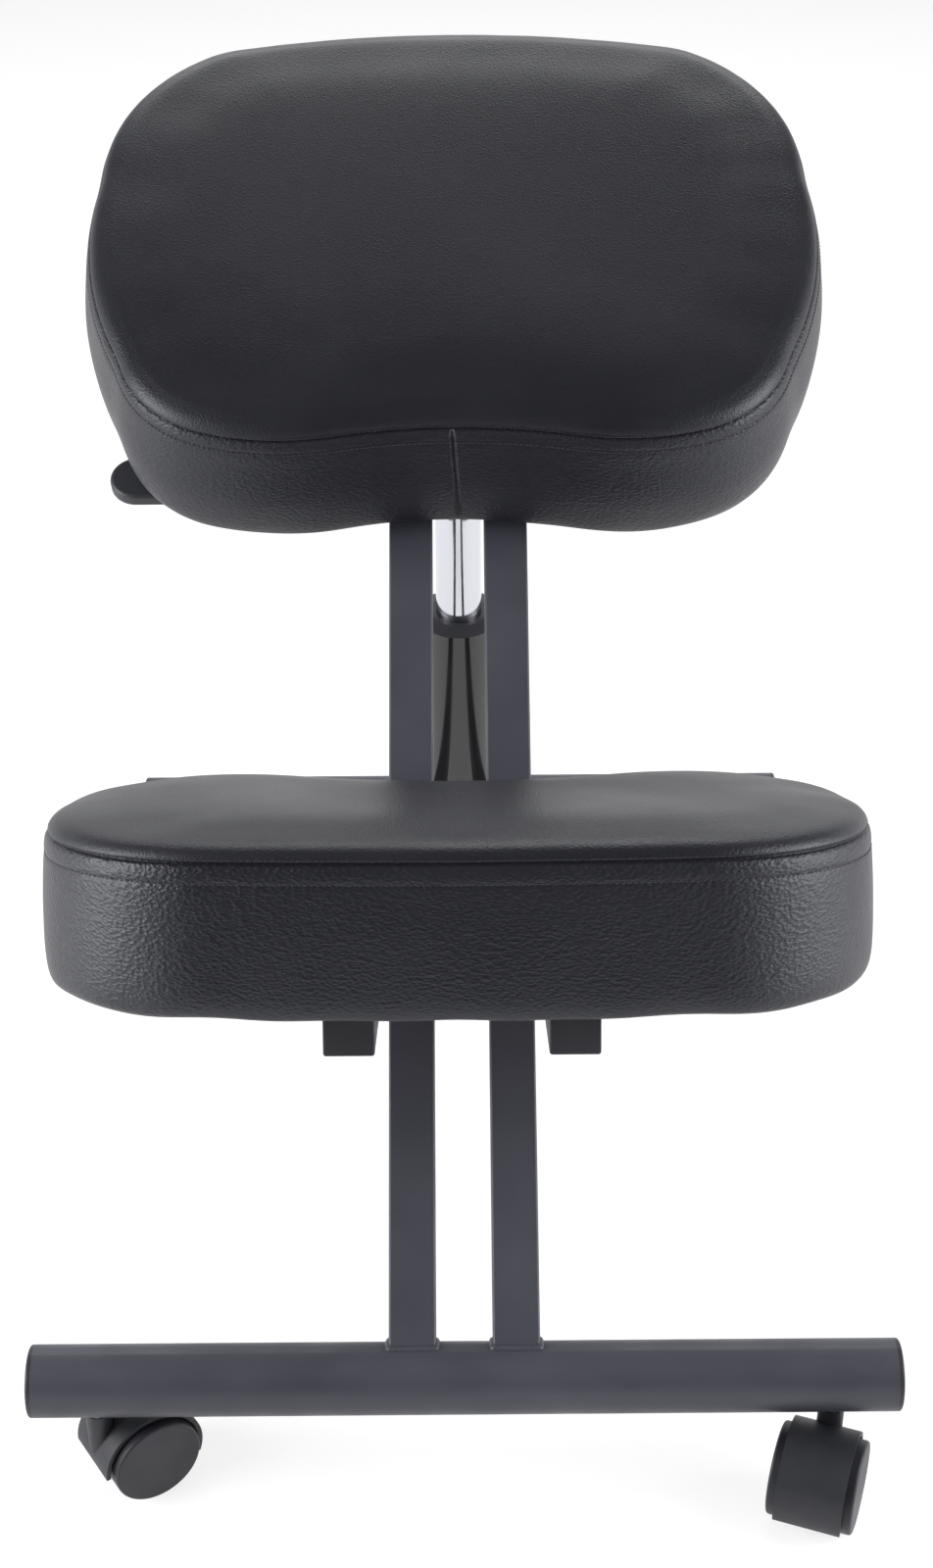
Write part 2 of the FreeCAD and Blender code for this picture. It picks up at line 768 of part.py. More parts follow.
def lift_gland():
    """Seal at the cylinder's lower end, round the piston rod."""
    ring = Part.makeCylinder(cylinder_bore - seated, lift_gland_length, V(0, 0, cylinder_end))
    bore = Part.makeCylinder(lift_rod_d / 2 + running, lift_gland_length + 2 * past, V(0, 0, cylinder_end - past))
    return on_lift(ring.cut(bore))


def trunnion_slot():
    """Slot for a trunnion bolt, long enough for the lift's small change of length."""
    r = trunnion_d / 2 + washer_play
    cut = rod_x(r, trunnion_inner_x - washer_play, lift_tube_d, V(0, 0, lift_length - trunnion_slack))
    cut = cut.fuse(rod_x(r, trunnion_inner_x - washer_play, lift_tube_d, V(0, 0, lift_length + trunnion_slack)))
    depth = lift_tube_d - trunnion_inner_x + washer_play
    corner = V(trunnion_inner_x - washer_play, -r, lift_length - trunnion_slack)
    return cut.fuse(Part.makeBox(depth, 2 * r, 2 * trunnion_slack, corner))


def lift_head():
    """Steel head on the cylinder, with a trunnion slot each side and the valve's bore."""
    low = lift_length - lift_head_below
    head = Part.makeCylinder(lift_head_d / 2, lift_head_below + lift_head_above, V(0, 0, low))
    plug = Part.makeCylinder(cylinder_bore - seated, lift_gland_length, V(0, 0, low - lift_gland_length))
    head = head.fuse(plug)
    head = head.cut(trunnion_slot())
    head = head.cut(mirrored(trunnion_slot()))
    bore_low = lift_length + valve_bottom - valve_travel - past
    head = head.cut(Part.makeCylinder(valve_d / 2 + running, lift_tube_d, V(0, 0, bore_low)))
    return on_lift(head)


def valve_pin():
    """Release valve's push pin in the head."""
    pin = Part.makeCylinder(valve_d / 2, valve_top - valve_bottom, V(0, 0, lift_length + valve_bottom))
    top_edges = []
    for edge in pin.Edges:
        if edge.BoundBox.ZMin > lift_length + valve_top - 0.01:
            top_edges.append(edge)
    return on_lift(pin.makeChamfer(valve_edge, top_edges))


def trunnion_bolt(side):
    """Bolt through bracket and arm whose end carries the lift's head."""
    bolt = bolt_x(trunnion_d, seat_arm_outer + bracket_plate, trunnion_inner_x, lift_top)
    return bolt if side > 0 else mirrored(bolt)


# Caster pieces are drawn with the stem's axis on Z and the wheels trailing towards +X.
wheel_r = wheel_d / 2
hood_inner = wheel_r + hood_gap
hood_outer = hood_inner + hood_wall
tube_low = cross_tube_height - cross_tube_r
neck_top = tube_low - hood_top_gap
axle_centre = V(caster_trail, 0, wheel_r)


def rod_y(radius, y_from, y_to, centre):
    """Round bar along Y."""
    return Part.makeCylinder(radius, y_to - y_from, V(centre.x, y_from, centre.z), Y_AXIS)


def sector(radius, half_width):
    """Part of a disc round the axle, over the angles that the hood covers."""
    sweep = hood_front_angle - hood_back_angle
    disc = Part.makeCylinder(radius, 2 * half_width, V(0, 0, -half_width), Z_AXIS, sweep)
    disc.rotate(V(0, 0, 0), Z_AXIS, hood_back_angle)
    disc.rotate(V(0, 0, 0), X_AXIS, 90)
    disc.translate(axle_centre)
    return disc


def caster_hood():
    """Hood over both wheels, with its middle web, its neck and the hub for the axle."""
    band = sector(hood_outer, hood_half_width)
    band = band.cut(rod_y(hood_inner, -2 * wheel_r, 2 * wheel_r, axle_centre))
    web = sector(hood_inner + hood_wall / 2, hood_web / 2)
    hub = rod_y(axle_hub_d / 2, -hood_neck_d / 2, hood_neck_d / 2, axle_centre)
    neck = Part.makeCylinder(hood_neck_d / 2, neck_top - hood_neck_foot, V(0, 0, hood_neck_foot))
    hood = band.fuse(web).fuse(hub).fuse(neck)
    hood = hood.cut(rod_y(axle_d / 2 + seated, -wheel_r, wheel_r, axle_centre))
    bore_low = neck_top - stem_pin_length - past
    return hood.cut(Part.makeCylinder(stem_pin_d / 2 + running, stem_pin_length + 2 * past, V(0, 0, bore_low)))


def caster_wheel(side):
    """One wheel of the pair: smooth outer face, round tread edge and a hollow inner side."""
    width = wheel_outer_x - wheel_inner_x
    wheel = Part.makeCylinder(wheel_r, width)
    rim = []
    for edge in wheel.Edges:
        if edge.BoundBox.ZMin > width - 0.01:
            rim.append(edge)
    wheel = wheel.makeFillet(wheel_edge, rim)
    pocket = Part.makeCylinder(wheel_r - wheel_rim, width - wheel_web)
    pocket = pocket.cut(Part.makeCylinder(wheel_hub_d / 2, width - wheel_web))
    wheel = wheel.cut(pocket)
    wheel = wheel.cut(Part.makeCylinder(axle_d / 2 + running, width - wheel_rim / 2))
    wheel.translate(V(0, 0, wheel_inner_x))
    wheel.rotate(V(0, 0, 0), X_AXIS, -90 * side)
    wheel.translate(axle_centre)
    return wheel


def caster_axle():
    """Steel axle fixed in the hood's hub."""
    half = wheel_outer_x - wheel_rim / 2 - running
    return rod_y(axle_d / 2, -half, half, axle_centre)


def caster_stem():
    """Stem: gripped in the tube above its collar, with the swivel pin below."""
    pin_low = neck_top - stem_pin_length
    pin = Part.makeCylinder(stem_pin_d / 2, tube_low - pin_low, V(0, 0, pin_low))
    collar_low = neck_top + washer_play
    collar = Part.makeCylinder(stem_collar_d / 2, tube_low - collar_low, V(0, 0, collar_low))
    shank = Part.makeCylinder(stem_d / 2, stem_up, V(0, 0, tube_low))
    return pin.fuse(collar).fuse(shank)


def stem_place(corner):
    """Where a caster's stem stands, from its corner's name."""
    end, side = corner.split("_")
    y = front_axis.y if end == "front" else rear_axis.y
    x = -caster_x if side == "left" else caster_x
    return V(x, y, 0)


def at_corner(shape, corner):
    """Turn a caster piece about its stem and carry it to its corner."""
    placed = shape.copy()
    placed.rotate(V(0, 0, 0), Z_AXIS, caster_turns[corner])
    placed.translate(stem_place(corner))
    return placed


def build_casters():
    for corner in caster_turns:
        export(corner + "_caster_hood", [at_corner(caster_hood(), corner)])
        export(corner + "_caster_axle", [at_corner(caster_axle(), corner)])
        export(corner + "_caster_wheel_a", [at_corner(caster_wheel(1), corner)])
        export(corner + "_caster_wheel_b", [at_corner(caster_wheel(-1), corner)])
    for end in ("front", "rear"):
        corners = [end + "_left", end + "_right"]
        export(end + "_caster_stems", [at_corner(caster_stem(), corner) for corner in corners])
        export(end + "_caster_sockets", [caster_socket(stem_place(corner)) for corner in corners])


def build_cross_tubes():
    for end, axis in (("front", front_axis), ("rear", rear_axis)):
        export(end + "_cross_tube", [cross_tube(axis)])
        cap = tube_cap(axis)
        export(end + "_tube_caps", [mirrored(cap), cap])


def build_arms():
    export("seat_arm_left", [seat_arm(-seat_arm_x)])
    export("seat_arm_right", [seat_arm(seat_arm_x)])
    export("knee_arm_left", [knee_arm(-knee_arm_x, -1)])
    export("knee_arm_right", [knee_arm(knee_arm_x, 1)])
    export("knee_arm_plugs", [arm_plug(-knee_arm_x), arm_plug(knee_arm_x)])


def build_pivot():
    """Long bolts through the knee arms at the scissor pivot and at the gas lift's foot."""
    washer_outer = knee_arm_outer + washer_thickness
    bolts = []
    nuts = []
    washers = []
    for d, place in ((pivot_bolt_d, pivot), (lift_pin_d, lift_foot)):
        end = washer_outer + d * nut_height_ratio + thread_end
        bolts.append(bolt_x(d, -washer_outer, end, place))
        nuts.append(nut_x(d, washer_outer, 1, place))
        washer_r = d * washer_ratio / 2
        washers.append(ring_x(washer_r, d / 2 + seated, knee_arm_outer, washer_outer, place))
        washers.append(ring_x(washer_r, d / 2 + seated, -washer_outer, -knee_arm_outer, place))
    export("frame_bolts", bolts)
    export("frame_nuts", nuts)
    export("frame_washers", washers)
    export("pivot_bushes", [pivot_bush(), mirrored(pivot_bush())])
    inner = seat_arm_gap / 2
    spacer_r = pivot_bolt_d / 2 + running + spacer_wall
    export("pivot_spacer", [ring_x(spacer_r, pivot_bolt_d / 2 + running, -inner, inner, pivot)])
    foot_r = lift_pin_d / 2 + seated + spacer_wall
    gap_start = lift_eye_width / 2 + washer_play
    foot_spacer = ring_x(foot_r, lift_pin_d / 2 + seated, gap_start, knee_arm_inner, lift_foot)
    export("lift_foot_spacers", [mirrored(foot_spacer), foot_spacer])


def pivot_bush():
    """Plastic bush through one seat arm, with a flange that keeps the arms apart."""
    sleeve = ring_x(bush_d / 2, pivot_bolt_d / 2 + running, seat_arm_gap / 2, seat_arm_outer, pivot)
    flange_end = knee_arm_inner - washer_play
    flange = ring_x(bush_flange_d / 2, pivot_bolt_d / 2 + running, seat_arm_outer, flange_end, pivot)
    return sleeve.fuse(flange)


def build_lift():
    export("lift_outer_tube", [lift_outer_tube()])
    export("lift_foot_eye", [lift_foot_eye()])
    export("lift_guide_bush", [lift_guide_bush()])
    export("lift_piston_rod", [lift_piston_rod()])
    export("lift_cylinder", [lift_cylinder()])
    export("lift_gland", [lift_gland()])
    export("lift_head", [lift_head()])
    export("release_valve_pin", [valve_pin()])
    export("lift_trunnion_bolts", [trunnion_bolt(-1), trunnion_bolt(1)])


def build_lever():
    export("release_lever_rod", [lever_rod()])
    export("release_lever_paddle", [lever_paddle()])
    export("release_lever_ears", lever_bracket())
    export("release_lever_pin", [lever_pin()])


def build_seat():
    export("seat_cushion", [seat_cushion()])
    export("seat_board", [seat_board()])
    export("seat_bracket_left", [seat_bracket(-1)])
    export("seat_bracket_right", [seat_bracket(1)])
    bolt_x_place = seat_arm_outer + (bracket_plate + bracket_flange) / 2
    bolts = []
    inserts = []
    for side in (-1, 1):
        for line in seat_bolt_lines:
            bolts.append(on_seat(upright_bolt(side * bolt_x_place, line, -bracket_plate, bolt_end)))
            inserts.append(on_seat(insert(side * bolt_x_place, line)))
    export("seat_bolts", bolts)
    export("seat_board_inserts", inserts)


def build_knee_pad():
    export("knee_pad_cushion", [pad_cushion()])
    export("knee_pad_board", [pad_board()])
    bolts = []
    inserts = []
    for side in (-1, 1):
        for line in pad_bolt_lines:
            bolts.append(on_pad(upright_bolt(side * knee_arm_x, line, -arm_size, bolt_end)))
            inserts.append(on_pad(insert(side * knee_arm_x, line)))
    export("knee_pad_bolts", bolts)
    export("knee_pad_board_inserts", inserts)


build_casters()
build_cross_tubes()
build_arms()
build_pivot()
build_lift()
build_lever()
build_seat()
build_knee_pad()
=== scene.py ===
import json
import math

import bmesh
import bpy
from mathutils import Matrix, Vector, noise
from mathutils.bvhtree import BVHTree
from mathutils.kdtree import KDTree


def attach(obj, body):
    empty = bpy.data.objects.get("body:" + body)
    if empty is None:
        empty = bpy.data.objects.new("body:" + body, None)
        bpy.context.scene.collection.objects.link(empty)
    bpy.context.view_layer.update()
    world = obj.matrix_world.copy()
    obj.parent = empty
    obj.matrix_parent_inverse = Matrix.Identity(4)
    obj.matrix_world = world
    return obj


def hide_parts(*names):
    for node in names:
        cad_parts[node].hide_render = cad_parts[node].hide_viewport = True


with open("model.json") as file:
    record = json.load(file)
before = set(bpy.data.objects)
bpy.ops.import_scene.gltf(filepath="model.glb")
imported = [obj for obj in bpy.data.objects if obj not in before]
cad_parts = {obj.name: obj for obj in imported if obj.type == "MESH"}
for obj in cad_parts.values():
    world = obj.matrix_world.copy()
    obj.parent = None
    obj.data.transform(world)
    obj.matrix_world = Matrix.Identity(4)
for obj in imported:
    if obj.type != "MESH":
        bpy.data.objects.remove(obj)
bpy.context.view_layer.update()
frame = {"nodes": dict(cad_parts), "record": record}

nodes = frame["nodes"]

MM = 0.001

# Where each cushion's front edge lies, in metres, and its slope in degrees, as in the CAD model
SEAT_PLACE = (0.0, 0.020, 0.483)
SEAT_SLOPE = 25.0
PAD_PLACE = (0.0, -0.301, 0.33024)
PAD_SLOPE = -22.0
SEAT_TURN = Matrix.Translation(SEAT_PLACE) @ Matrix.Rotation(math.radians(SEAT_SLOPE), 4, "X")
PAD_TURN = Matrix.Translation(PAD_PLACE) @ Matrix.Rotation(math.radians(PAD_SLOPE), 4, "X")


# Materials

def new_material(name, color, roughness, metallic=0.0):
    """Principled material; returns it with its tree, shader and a place for bump."""
    material = bpy.data.materials.new(name)
    material.use_nodes = True
    tree = material.node_tree
    shader = tree.nodes["Principled BSDF"]
    shader.inputs["Base Color"].default_value = (*color, 1.0)
    shader.inputs["Roughness"].default_value = roughness
    shader.inputs["Metallic"].default_value = metallic
    return material, tree, shader


def object_coords(tree, scale=(1.0, 1.0, 1.0)):
    """Object coordinates through a mapping, in metres."""
    coord = tree.nodes.new("ShaderNodeTexCoord")
    mapping = tree.nodes.new("ShaderNodeMapping")
    mapping.inputs["Scale"].default_value = scale
    tree.links.new(coord.outputs["Object"], mapping.inputs["Vector"])
    return mapping.outputs["Vector"]


def noise_node(tree, vector, scale, detail=4.0, rough=0.55):
    node = tree.nodes.new("ShaderNodeTexNoise")
    node.inputs["Scale"].default_value = scale
    node.inputs["Detail"].default_value = detail
    node.inputs["Roughness"].default_value = rough
    tree.links.new(vector, node.inputs["Vector"])
    return node.outputs["Fac"]


def ramp(tree, value, stops):
    """Colour ramp with (place, colour or grey) stops."""
    node = tree.nodes.new("ShaderNodeValToRGB")
    while len(node.color_ramp.elements) < len(stops):
        node.color_ramp.elements.new(0.5)
    for element, (place, tone) in zip(node.color_ramp.elements, stops):
        element.position = place
        element.color = (tone, tone, tone, 1.0) if isinstance(tone, float) else (*tone, 1.0)
    tree.links.new(value, node.inputs["Fac"])
    return node.outputs["Color"]


def bump(tree, shader, height, strength, distance, under=None):
    node = tree.nodes.new("ShaderNodeBump")
    node.inputs["Strength"].default_value = strength
    node.inputs["Distance"].default_value = distance
    tree.links.new(height, node.inputs["Height"])
    if under is not None:
        tree.links.new(under, node.inputs["Normal"])
    tree.links.new(node.outputs["Normal"], shader.inputs["Normal"])
    return node.outputs["Normal"]


# How far the leatherette's cells are pulled out of a regular pattern
WARP_SHARE = 0.0016


def leatherette(name, stretch, cells, grain, rough_low, rough_high):
    """Black pebbled leatherette: cell grain, fine pores and a slightly uneven sheen."""
    material, tree, shader = new_material(name, (0.0130, 0.0132, 0.0185), 0.42)
    vector = object_coords(tree, stretch)
    warp = tree.nodes.new("ShaderNodeTexNoise")
    warp.inputs["Scale"].default_value = cells * 0.7
    tree.links.new(vector, warp.inputs["Vector"])
    mixed = tree.nodes.new("ShaderNodeMix")
    mixed.data_type = "VECTOR"
    mixed.inputs["Factor"].default_value = WARP_SHARE
    tree.links.new(vector, mixed.inputs[4])
    tree.links.new(warp.outputs["Color"], mixed.inputs[5])
    pebble = tree.nodes.new("ShaderNodeTexVoronoi")
    pebble.feature = "SMOOTH_F1"
    pebble.inputs["Scale"].default_value = cells
    pebble.inputs["Smoothness"].default_value = 0.35
    tree.links.new(mixed.outputs[1], pebble.inputs["Vector"])
    first = bump(tree, shader, pebble.outputs["Distance"], grain, 0.0004)
    pores = noise_node(tree, vector, cells * 3.2, 3.0)
    bump(tree, shader, pores, grain * 0.35, 0.0002, first)
    patches = noise_node(tree, vector, 9.0, 3.0)
    tree.links.new(ramp(tree, patches, [(0.3, rough_low), (0.7, rough_high)]), shader.inputs["Roughness"])
    tone = noise_node(tree, vector, 14.0, 5.0)
    stops = [(0.3, (0.0112, 0.0114, 0.0165)), (0.7, (0.0150, 0.0152, 0.0208))]
    tree.links.new(ramp(tree, tone, stops), shader.inputs["Base Color"])
    shader.inputs["Specular Tint"].default_value = (0.93, 0.95, 1.0, 1.0)
    return material


def powder_coat():
    """Satin black powder coat with its fine orange peel and a little dust."""
    material, tree, shader = new_material("powder_coat", (0.060, 0.062, 0.080), 0.42)
    vector = object_coords(tree)
    peel = noise_node(tree, vector, 900.0, 3.0)
    first = bump(tree, shader, peel, 0.22, 0.0003)
    broad = noise_node(tree, vector, 220.0, 2.0)
    bump(tree, shader, broad, 0.10, 0.0004, first)
    sheen = noise_node(tree, vector, 30.0, 6.0)
    tree.links.new(ramp(tree, sheen, [(0.3, 0.36), (0.7, 0.52)]), shader.inputs["Roughness"])
    stops = [(0.35, (0.054, 0.056, 0.073)), (0.75, (0.072, 0.075, 0.096))]
    tree.links.new(ramp(tree, noise_node(tree, vector, 12.0, 5.0), stops), shader.inputs["Base Color"])
    return material


def moulded_plastic(name, color, rough, scale=1400.0, strength=0.3):
    """Moulded black plastic with a fine spark-eroded texture."""
    material, tree, shader = new_material(name, color, rough)
    vector = object_coords(tree)
    bump(tree, shader, noise_node(tree, vector, scale, 2.0), strength, 0.00025)
    sheen = noise_node(tree, vector, 45.0, 4.0)
    tree.links.new(ramp(tree, sheen, [(0.3, rough - 0.06), (0.7, rough + 0.07)]), shader.inputs["Roughness"])
    darker = tuple(c * 0.82 for c in color)
    lighter = tuple(c * 1.2 for c in color)
    tone = noise_node(tree, vector, 25.0, 4.0)
    tree.links.new(ramp(tree, tone, [(0.3, darker), (0.7, lighter)]), shader.inputs["Base Color"])
    return material


def metal(name, color, rough, streak=(1.0, 1.0, 1.0), spread=0.06):
    """Bare metal with fine wear in its roughness along a streak direction."""
    material, tree, shader = new_material(name, color, rough, 1.0)
    vector = object_coords(tree, streak)
    wear = noise_node(tree, vector, 420.0, 4.0)
    low = max(rough - spread, 0.02)
    tree.links.new(ramp(tree, wear, [(0.3, low), (0.7, rough + spread)]), shader.inputs["Roughness"])
    bump(tree, shader, wear, 0.05, 0.0002)
    return material


def gloss_enamel():
    """Gloss black enamel of the gas lift's outer tube."""
    material, tree, shader = new_material("gloss_enamel", (0.010, 0.010, 0.011), 0.12)
    vector = object_coords(tree)
    bump(tree, shader, noise_node(tree, vector, 160.0, 2.0), 0.04, 0.0004)
    smears = noise_node(tree, vector, 18.0, 5.0)
    tree.links.new(ramp(tree, smears, [(0.35, 0.09), (0.75, 0.20)]), shader.inputs["Roughness"])
    shader.inputs["Coat Weight"].default_value = 0.4
    shader.inputs["Coat Roughness"].default_value = 0.08
    return material


def plywood():
    """Birch plywood with a soft grain along X."""
    material, tree, shader = new_material("plywood", (0.42, 0.30, 0.18), 0.65)
    vector = object_coords(tree, (4.0, 60.0, 60.0))
    grain = noise_node(tree, vector, 3.0, 8.0, 0.6)
    stops = [(0.3, (0.30, 0.20, 0.11)), (0.55, (0.44, 0.32, 0.19)), (0.8, (0.53, 0.40, 0.26))]
    tree.links.new(ramp(tree, grain, stops), shader.inputs["Base Color"])
    bump(tree, shader, grain, 0.25, 0.0005)
    return material


def thread():
    """Black polyester sewing thread."""
    material, tree, shader = new_material("thread", (0.030, 0.030, 0.033), 0.55)
    vector = object_coords(tree)
    bump(tree, shader, noise_node(tree, vector, 3500.0, 2.0), 0.5, 0.0001)
    tone = noise_node(tree, vector, 60.0, 2.0)
    stops = [(0.3, (0.022, 0.022, 0.025)), (0.7, (0.045, 0.045, 0.05))]
    tree.links.new(ramp(tree, tone, stops), shader.inputs["Base Color"])
    return material


POWDER = powder_coat()
PLASTIC = moulded_plastic("black_plastic", (0.030, 0.031, 0.038), 0.45)
NYLON = moulded_plastic("caster_nylon", (0.022, 0.023, 0.030), 0.50, 1100.0, 0.35)
CHROME = metal("chrome", (0.64, 0.65, 0.69), 0.09, spread=0.03)
STEEL = metal("turned_steel", (0.52, 0.52, 0.53), 0.30)
ZINC = metal("zinc_plate", (0.50, 0.51, 0.53), 0.34)
ENAMEL = gloss_enamel()
PLY = plywood()
THREAD = thread()
LEATHER = leatherette("leatherette_band", (0.62, 0.62, 1.2), 640.0, 0.95, 0.37, 0.49)
LEATHER_TOP = leatherette("leatherette_top", (1.0, 1.0, 1.0), 820.0, 0.42, 0.36, 0.47)

SLOT_MATERIALS = {
    "black_powder_coat": POWDER,
    "black_gloss_steel": ENAMEL,
    "chrome_steel": CHROME,
    "machined_steel": STEEL,
    "zinc_steel": ZINC,
    "black_plastic": PLASTIC,
    "caster_nylon": NYLON,
    "plywood": PLY,
    "black_leatherette": LEATHER,
}


def dress_nodes():
    """Give every CAD node its slot's material."""
    for part in frame["record"]["subparts"]:
        node = nodes[part["node"]]
        node.data.materials.clear()
        node.data.materials.append(SLOT_MATERIALS[part["material_slot"]])


dress_nodes()


# Cushions. Each is drawn in its own slope's frame, in millimetres, as rings round its outline.

SEAT_OUTLINE = [
    (62.0, 0.5), (105.0, -3.0), (140.0, 3.0), (173.0, 23.0), (191.0, 58.0),
    (213.0, 130.0), (211.0, 205.0), (193.0, 275.0), (143.0, 319.0),
]
PAD_OUTLINE = [
    (112.0, 5.0), (175.0, 30.0), (204.0, 82.0), (207.0, 103.0), (204.0, 124.0),
    (180.0, 177.0), (123.0, 203.0), (99.0, 201.0), (76.0, 193.0),
]


def arc_points(a, b, c, count):
    """Points of the circular arc from a through b, up to but without c."""
    ax, ay = a
    bx, by = b
    cx, cy = c
    area = 2 * (ax * (by - cy) + bx * (cy - ay) + cx * (ay - by))
    if abs(area) < 1e-6:
        return [(ax + (cx - ax) * i / count, ay + (cy - ay) * i / count) for i in range(count)]
    a2, b2, c2 = ax * ax + ay * ay, bx * bx + by * by, cx * cx + cy * cy
    ux = (a2 * (by - cy) + b2 * (cy - ay) + c2 * (ay - by)) / area
    uy = (a2 * (cx - bx) + b2 * (ax - cx) + c2 * (bx - ax)) / area
    start = math.atan2(ay - uy, ax - ux)
    middle = math.atan2(by - uy, bx - ux)
    end = math.atan2(cy - uy, cx - ux)
    turn = math.tau if area > 0 else -math.tau
    while (middle - start) * turn < 0:
        middle += turn
    while (end - middle) * turn < 0:
        end += turn
    radius = math.hypot(ax - ux, ay - uy)
    found = []
    for i in range(count):
        t = start + (end - start) * i / count
        found.append((ux + radius * math.cos(t), uy + radius * math.sin(t)))
    return found


ARC_STEPS = 80
OUTLINE_POINTS = 1440
BACK_HALF_Y = 60.0


class Outline:
    """A closed outline that starts at the middle of its front edge and runs to the right."""

    def __init__(self, half, front, back, soften):
        left = [(-x, y) for x, y in reversed(half)]
        ring = half + [(0.0, back)] + left + [(0.0, front)]
        dense = []
        for i in range(0, len(ring), 2):
            dense += arc_points(ring[i], ring[i + 1], ring[(i + 2) % len(ring)], ARC_STEPS)
        self.points = self.even(dense, OUTLINE_POINTS)
        reach = max(int(soften / self.step), 1)
        smooth = []
        count = len(self.points)
        for i in range(count):
            near = [self.points[(i + k) % count] for k in range(-reach, reach + 1)]
            smooth.append((sum(p[0] for p in near) / len(near), sum(p[1] for p in near) / len(near)))
        front = [i for i in range(count) if smooth[i][1] <= BACK_HALF_Y]
        first = min(front, key=lambda i: abs(smooth[i][0]))
        smooth = smooth[first:] + smooth[:first]
        self.points = self.even(smooth, count)

    def even(self, points, count):
        """The same closed line with evenly spaced points."""
        lengths = [0.0]
        for i, p in enumerate(points):
            q = points[(i + 1) % len(points)]
            lengths.append(lengths[-1] + math.dist(p, q))
        self.length = lengths[-1]
        self.step = self.length / count
        found = []
        k = 0
        for i in range(count):
            s = i * self.step
            while lengths[k + 1] < s:
                k += 1
            t = (s - lengths[k]) / (lengths[k + 1] - lengths[k])
            p, q = points[k], points[(k + 1) % len(points)]
            found.append((p[0] + (q[0] - p[0]) * t, p[1] + (q[1] - p[1]) * t))
        return found

    def at(self, s):
        """Place and outward normal at a length along the outline."""
        count = len(self.points)
        u = (s / self.step) % count
        i = int(u)
        t = u - i
        a, b = self.points[i], self.points[(i + 1) % count]
        before, after = self.points[(i - 4) % count], self.points[(i + 5) % count]
        tx, ty = after[0] - before[0], after[1] - before[1]
        size = math.hypot(tx, ty)
        return Vector((a[0] + (b[0] - a[0]) * t, a[1] + (b[1] - a[1]) * t)), Vector((ty / size, -tx / size))


def spots(outline, spacing, join, join_steps):
    """Lengths along an outline, evenly spaced and closer together beside the band's join."""
    count = round(outline.length / spacing)
    found = [outline.length * i / count for i in range(count)]
    near = max(abs(step) for step in join_steps) + spacing * 0.5
    half = outline.length / 2
    found = [s for s in found if abs((s - join + half) % outline.length - half) > near]
    found += [(join + step) % outline.length for step in join_steps]
    return sorted(found)


def wave(s, length, seed, turns):
    """Smooth closed noise round an outline."""
    angle = math.tau * s / length
    return noise.noise(Vector((math.cos(angle) * turns, math.sin(angle) * turns, seed)))


def bell(x, width):
    return math.exp(-(x / width) ** 2)


def ring_mesh(name, outline, stations, levels, middle, shape):
    """Closed mesh of rings. A level is a height, how far it stands out and its scale to the middle."""
    bm = bmesh.new()
    rings = []
    for height, out, scale in levels:
        ring = []
        for s in stations:
            place, normal = outline.at(s)
            x, y, z = shape(place, normal, s, height, out)
            if scale < 1.0:
                x = middle[0] + (x - middle[0]) * scale
                y = middle[1] + (y - middle[1]) * scale
            ring.append(bm.verts.new((x * MM, y * MM, z * MM)))
        rings.append(ring)
    count = len(stations)
    for low, high in zip(rings, rings[1:]):
        for i in range(count):
            k = (i + 1) % count
            bm.faces.new((low[i], low[k], high[k], high[i]))
    mesh = bpy.data.meshes.new(name)
    bm.to_mesh(mesh)
    bm.free()
    thing = bpy.data.objects.new(name, mesh)
    bpy.context.scene.collection.objects.link(thing)
    return thing


def close_ends(thing):
    """Close each open ring with a fan of triangles round its middle."""
    bm = bmesh.new()
    bm.from_mesh(thing.data)
    open_edges = {edge for edge in bm.edges if edge.is_boundary}
    while open_edges:
        first = open_edges.pop()
        loop = [first]
        ends = list(first.verts)
        while True:
            after = [edge for edge in ends[-1].link_edges if edge in open_edges]
            if not after:
                break
            open_edges.discard(after[0])
            loop.append(after[0])
            ends.append(after[0].other_vert(ends[-1]))
        middle = bm.verts.new(sum((v.co for v in set(ends)), Vector()) / len(set(ends)))
        for edge in loop:
            bm.faces.new((*edge.verts, middle))
    bmesh.ops.recalc_face_normals(bm, faces=bm.faces[:])
    bm.to_mesh(thing.data)
    bm.free()


def only(thing):
    """Make this the only selected and active object."""
    for other in bpy.context.selected_objects:
        other.select_set(False)
    bpy.context.view_layer.objects.active = thing
    thing.select_set(True)


def apply_all(thing):
    only(thing)
    for modifier in list(thing.modifiers):
        bpy.ops.object.modifier_apply(modifier=modifier.name)


CLOTH_FRAMES = 20
CLOTH_QUALITY = 6
CLOTH_MASS = 0.25
CLOTH_TENSION = 18
CLOTH_SHEAR = 8
CLOTH_BENDING = 1.2
NEAR_POINTS = 90
NEAR_REACH = 15.0
FAR_WEIGHT = 1e-6


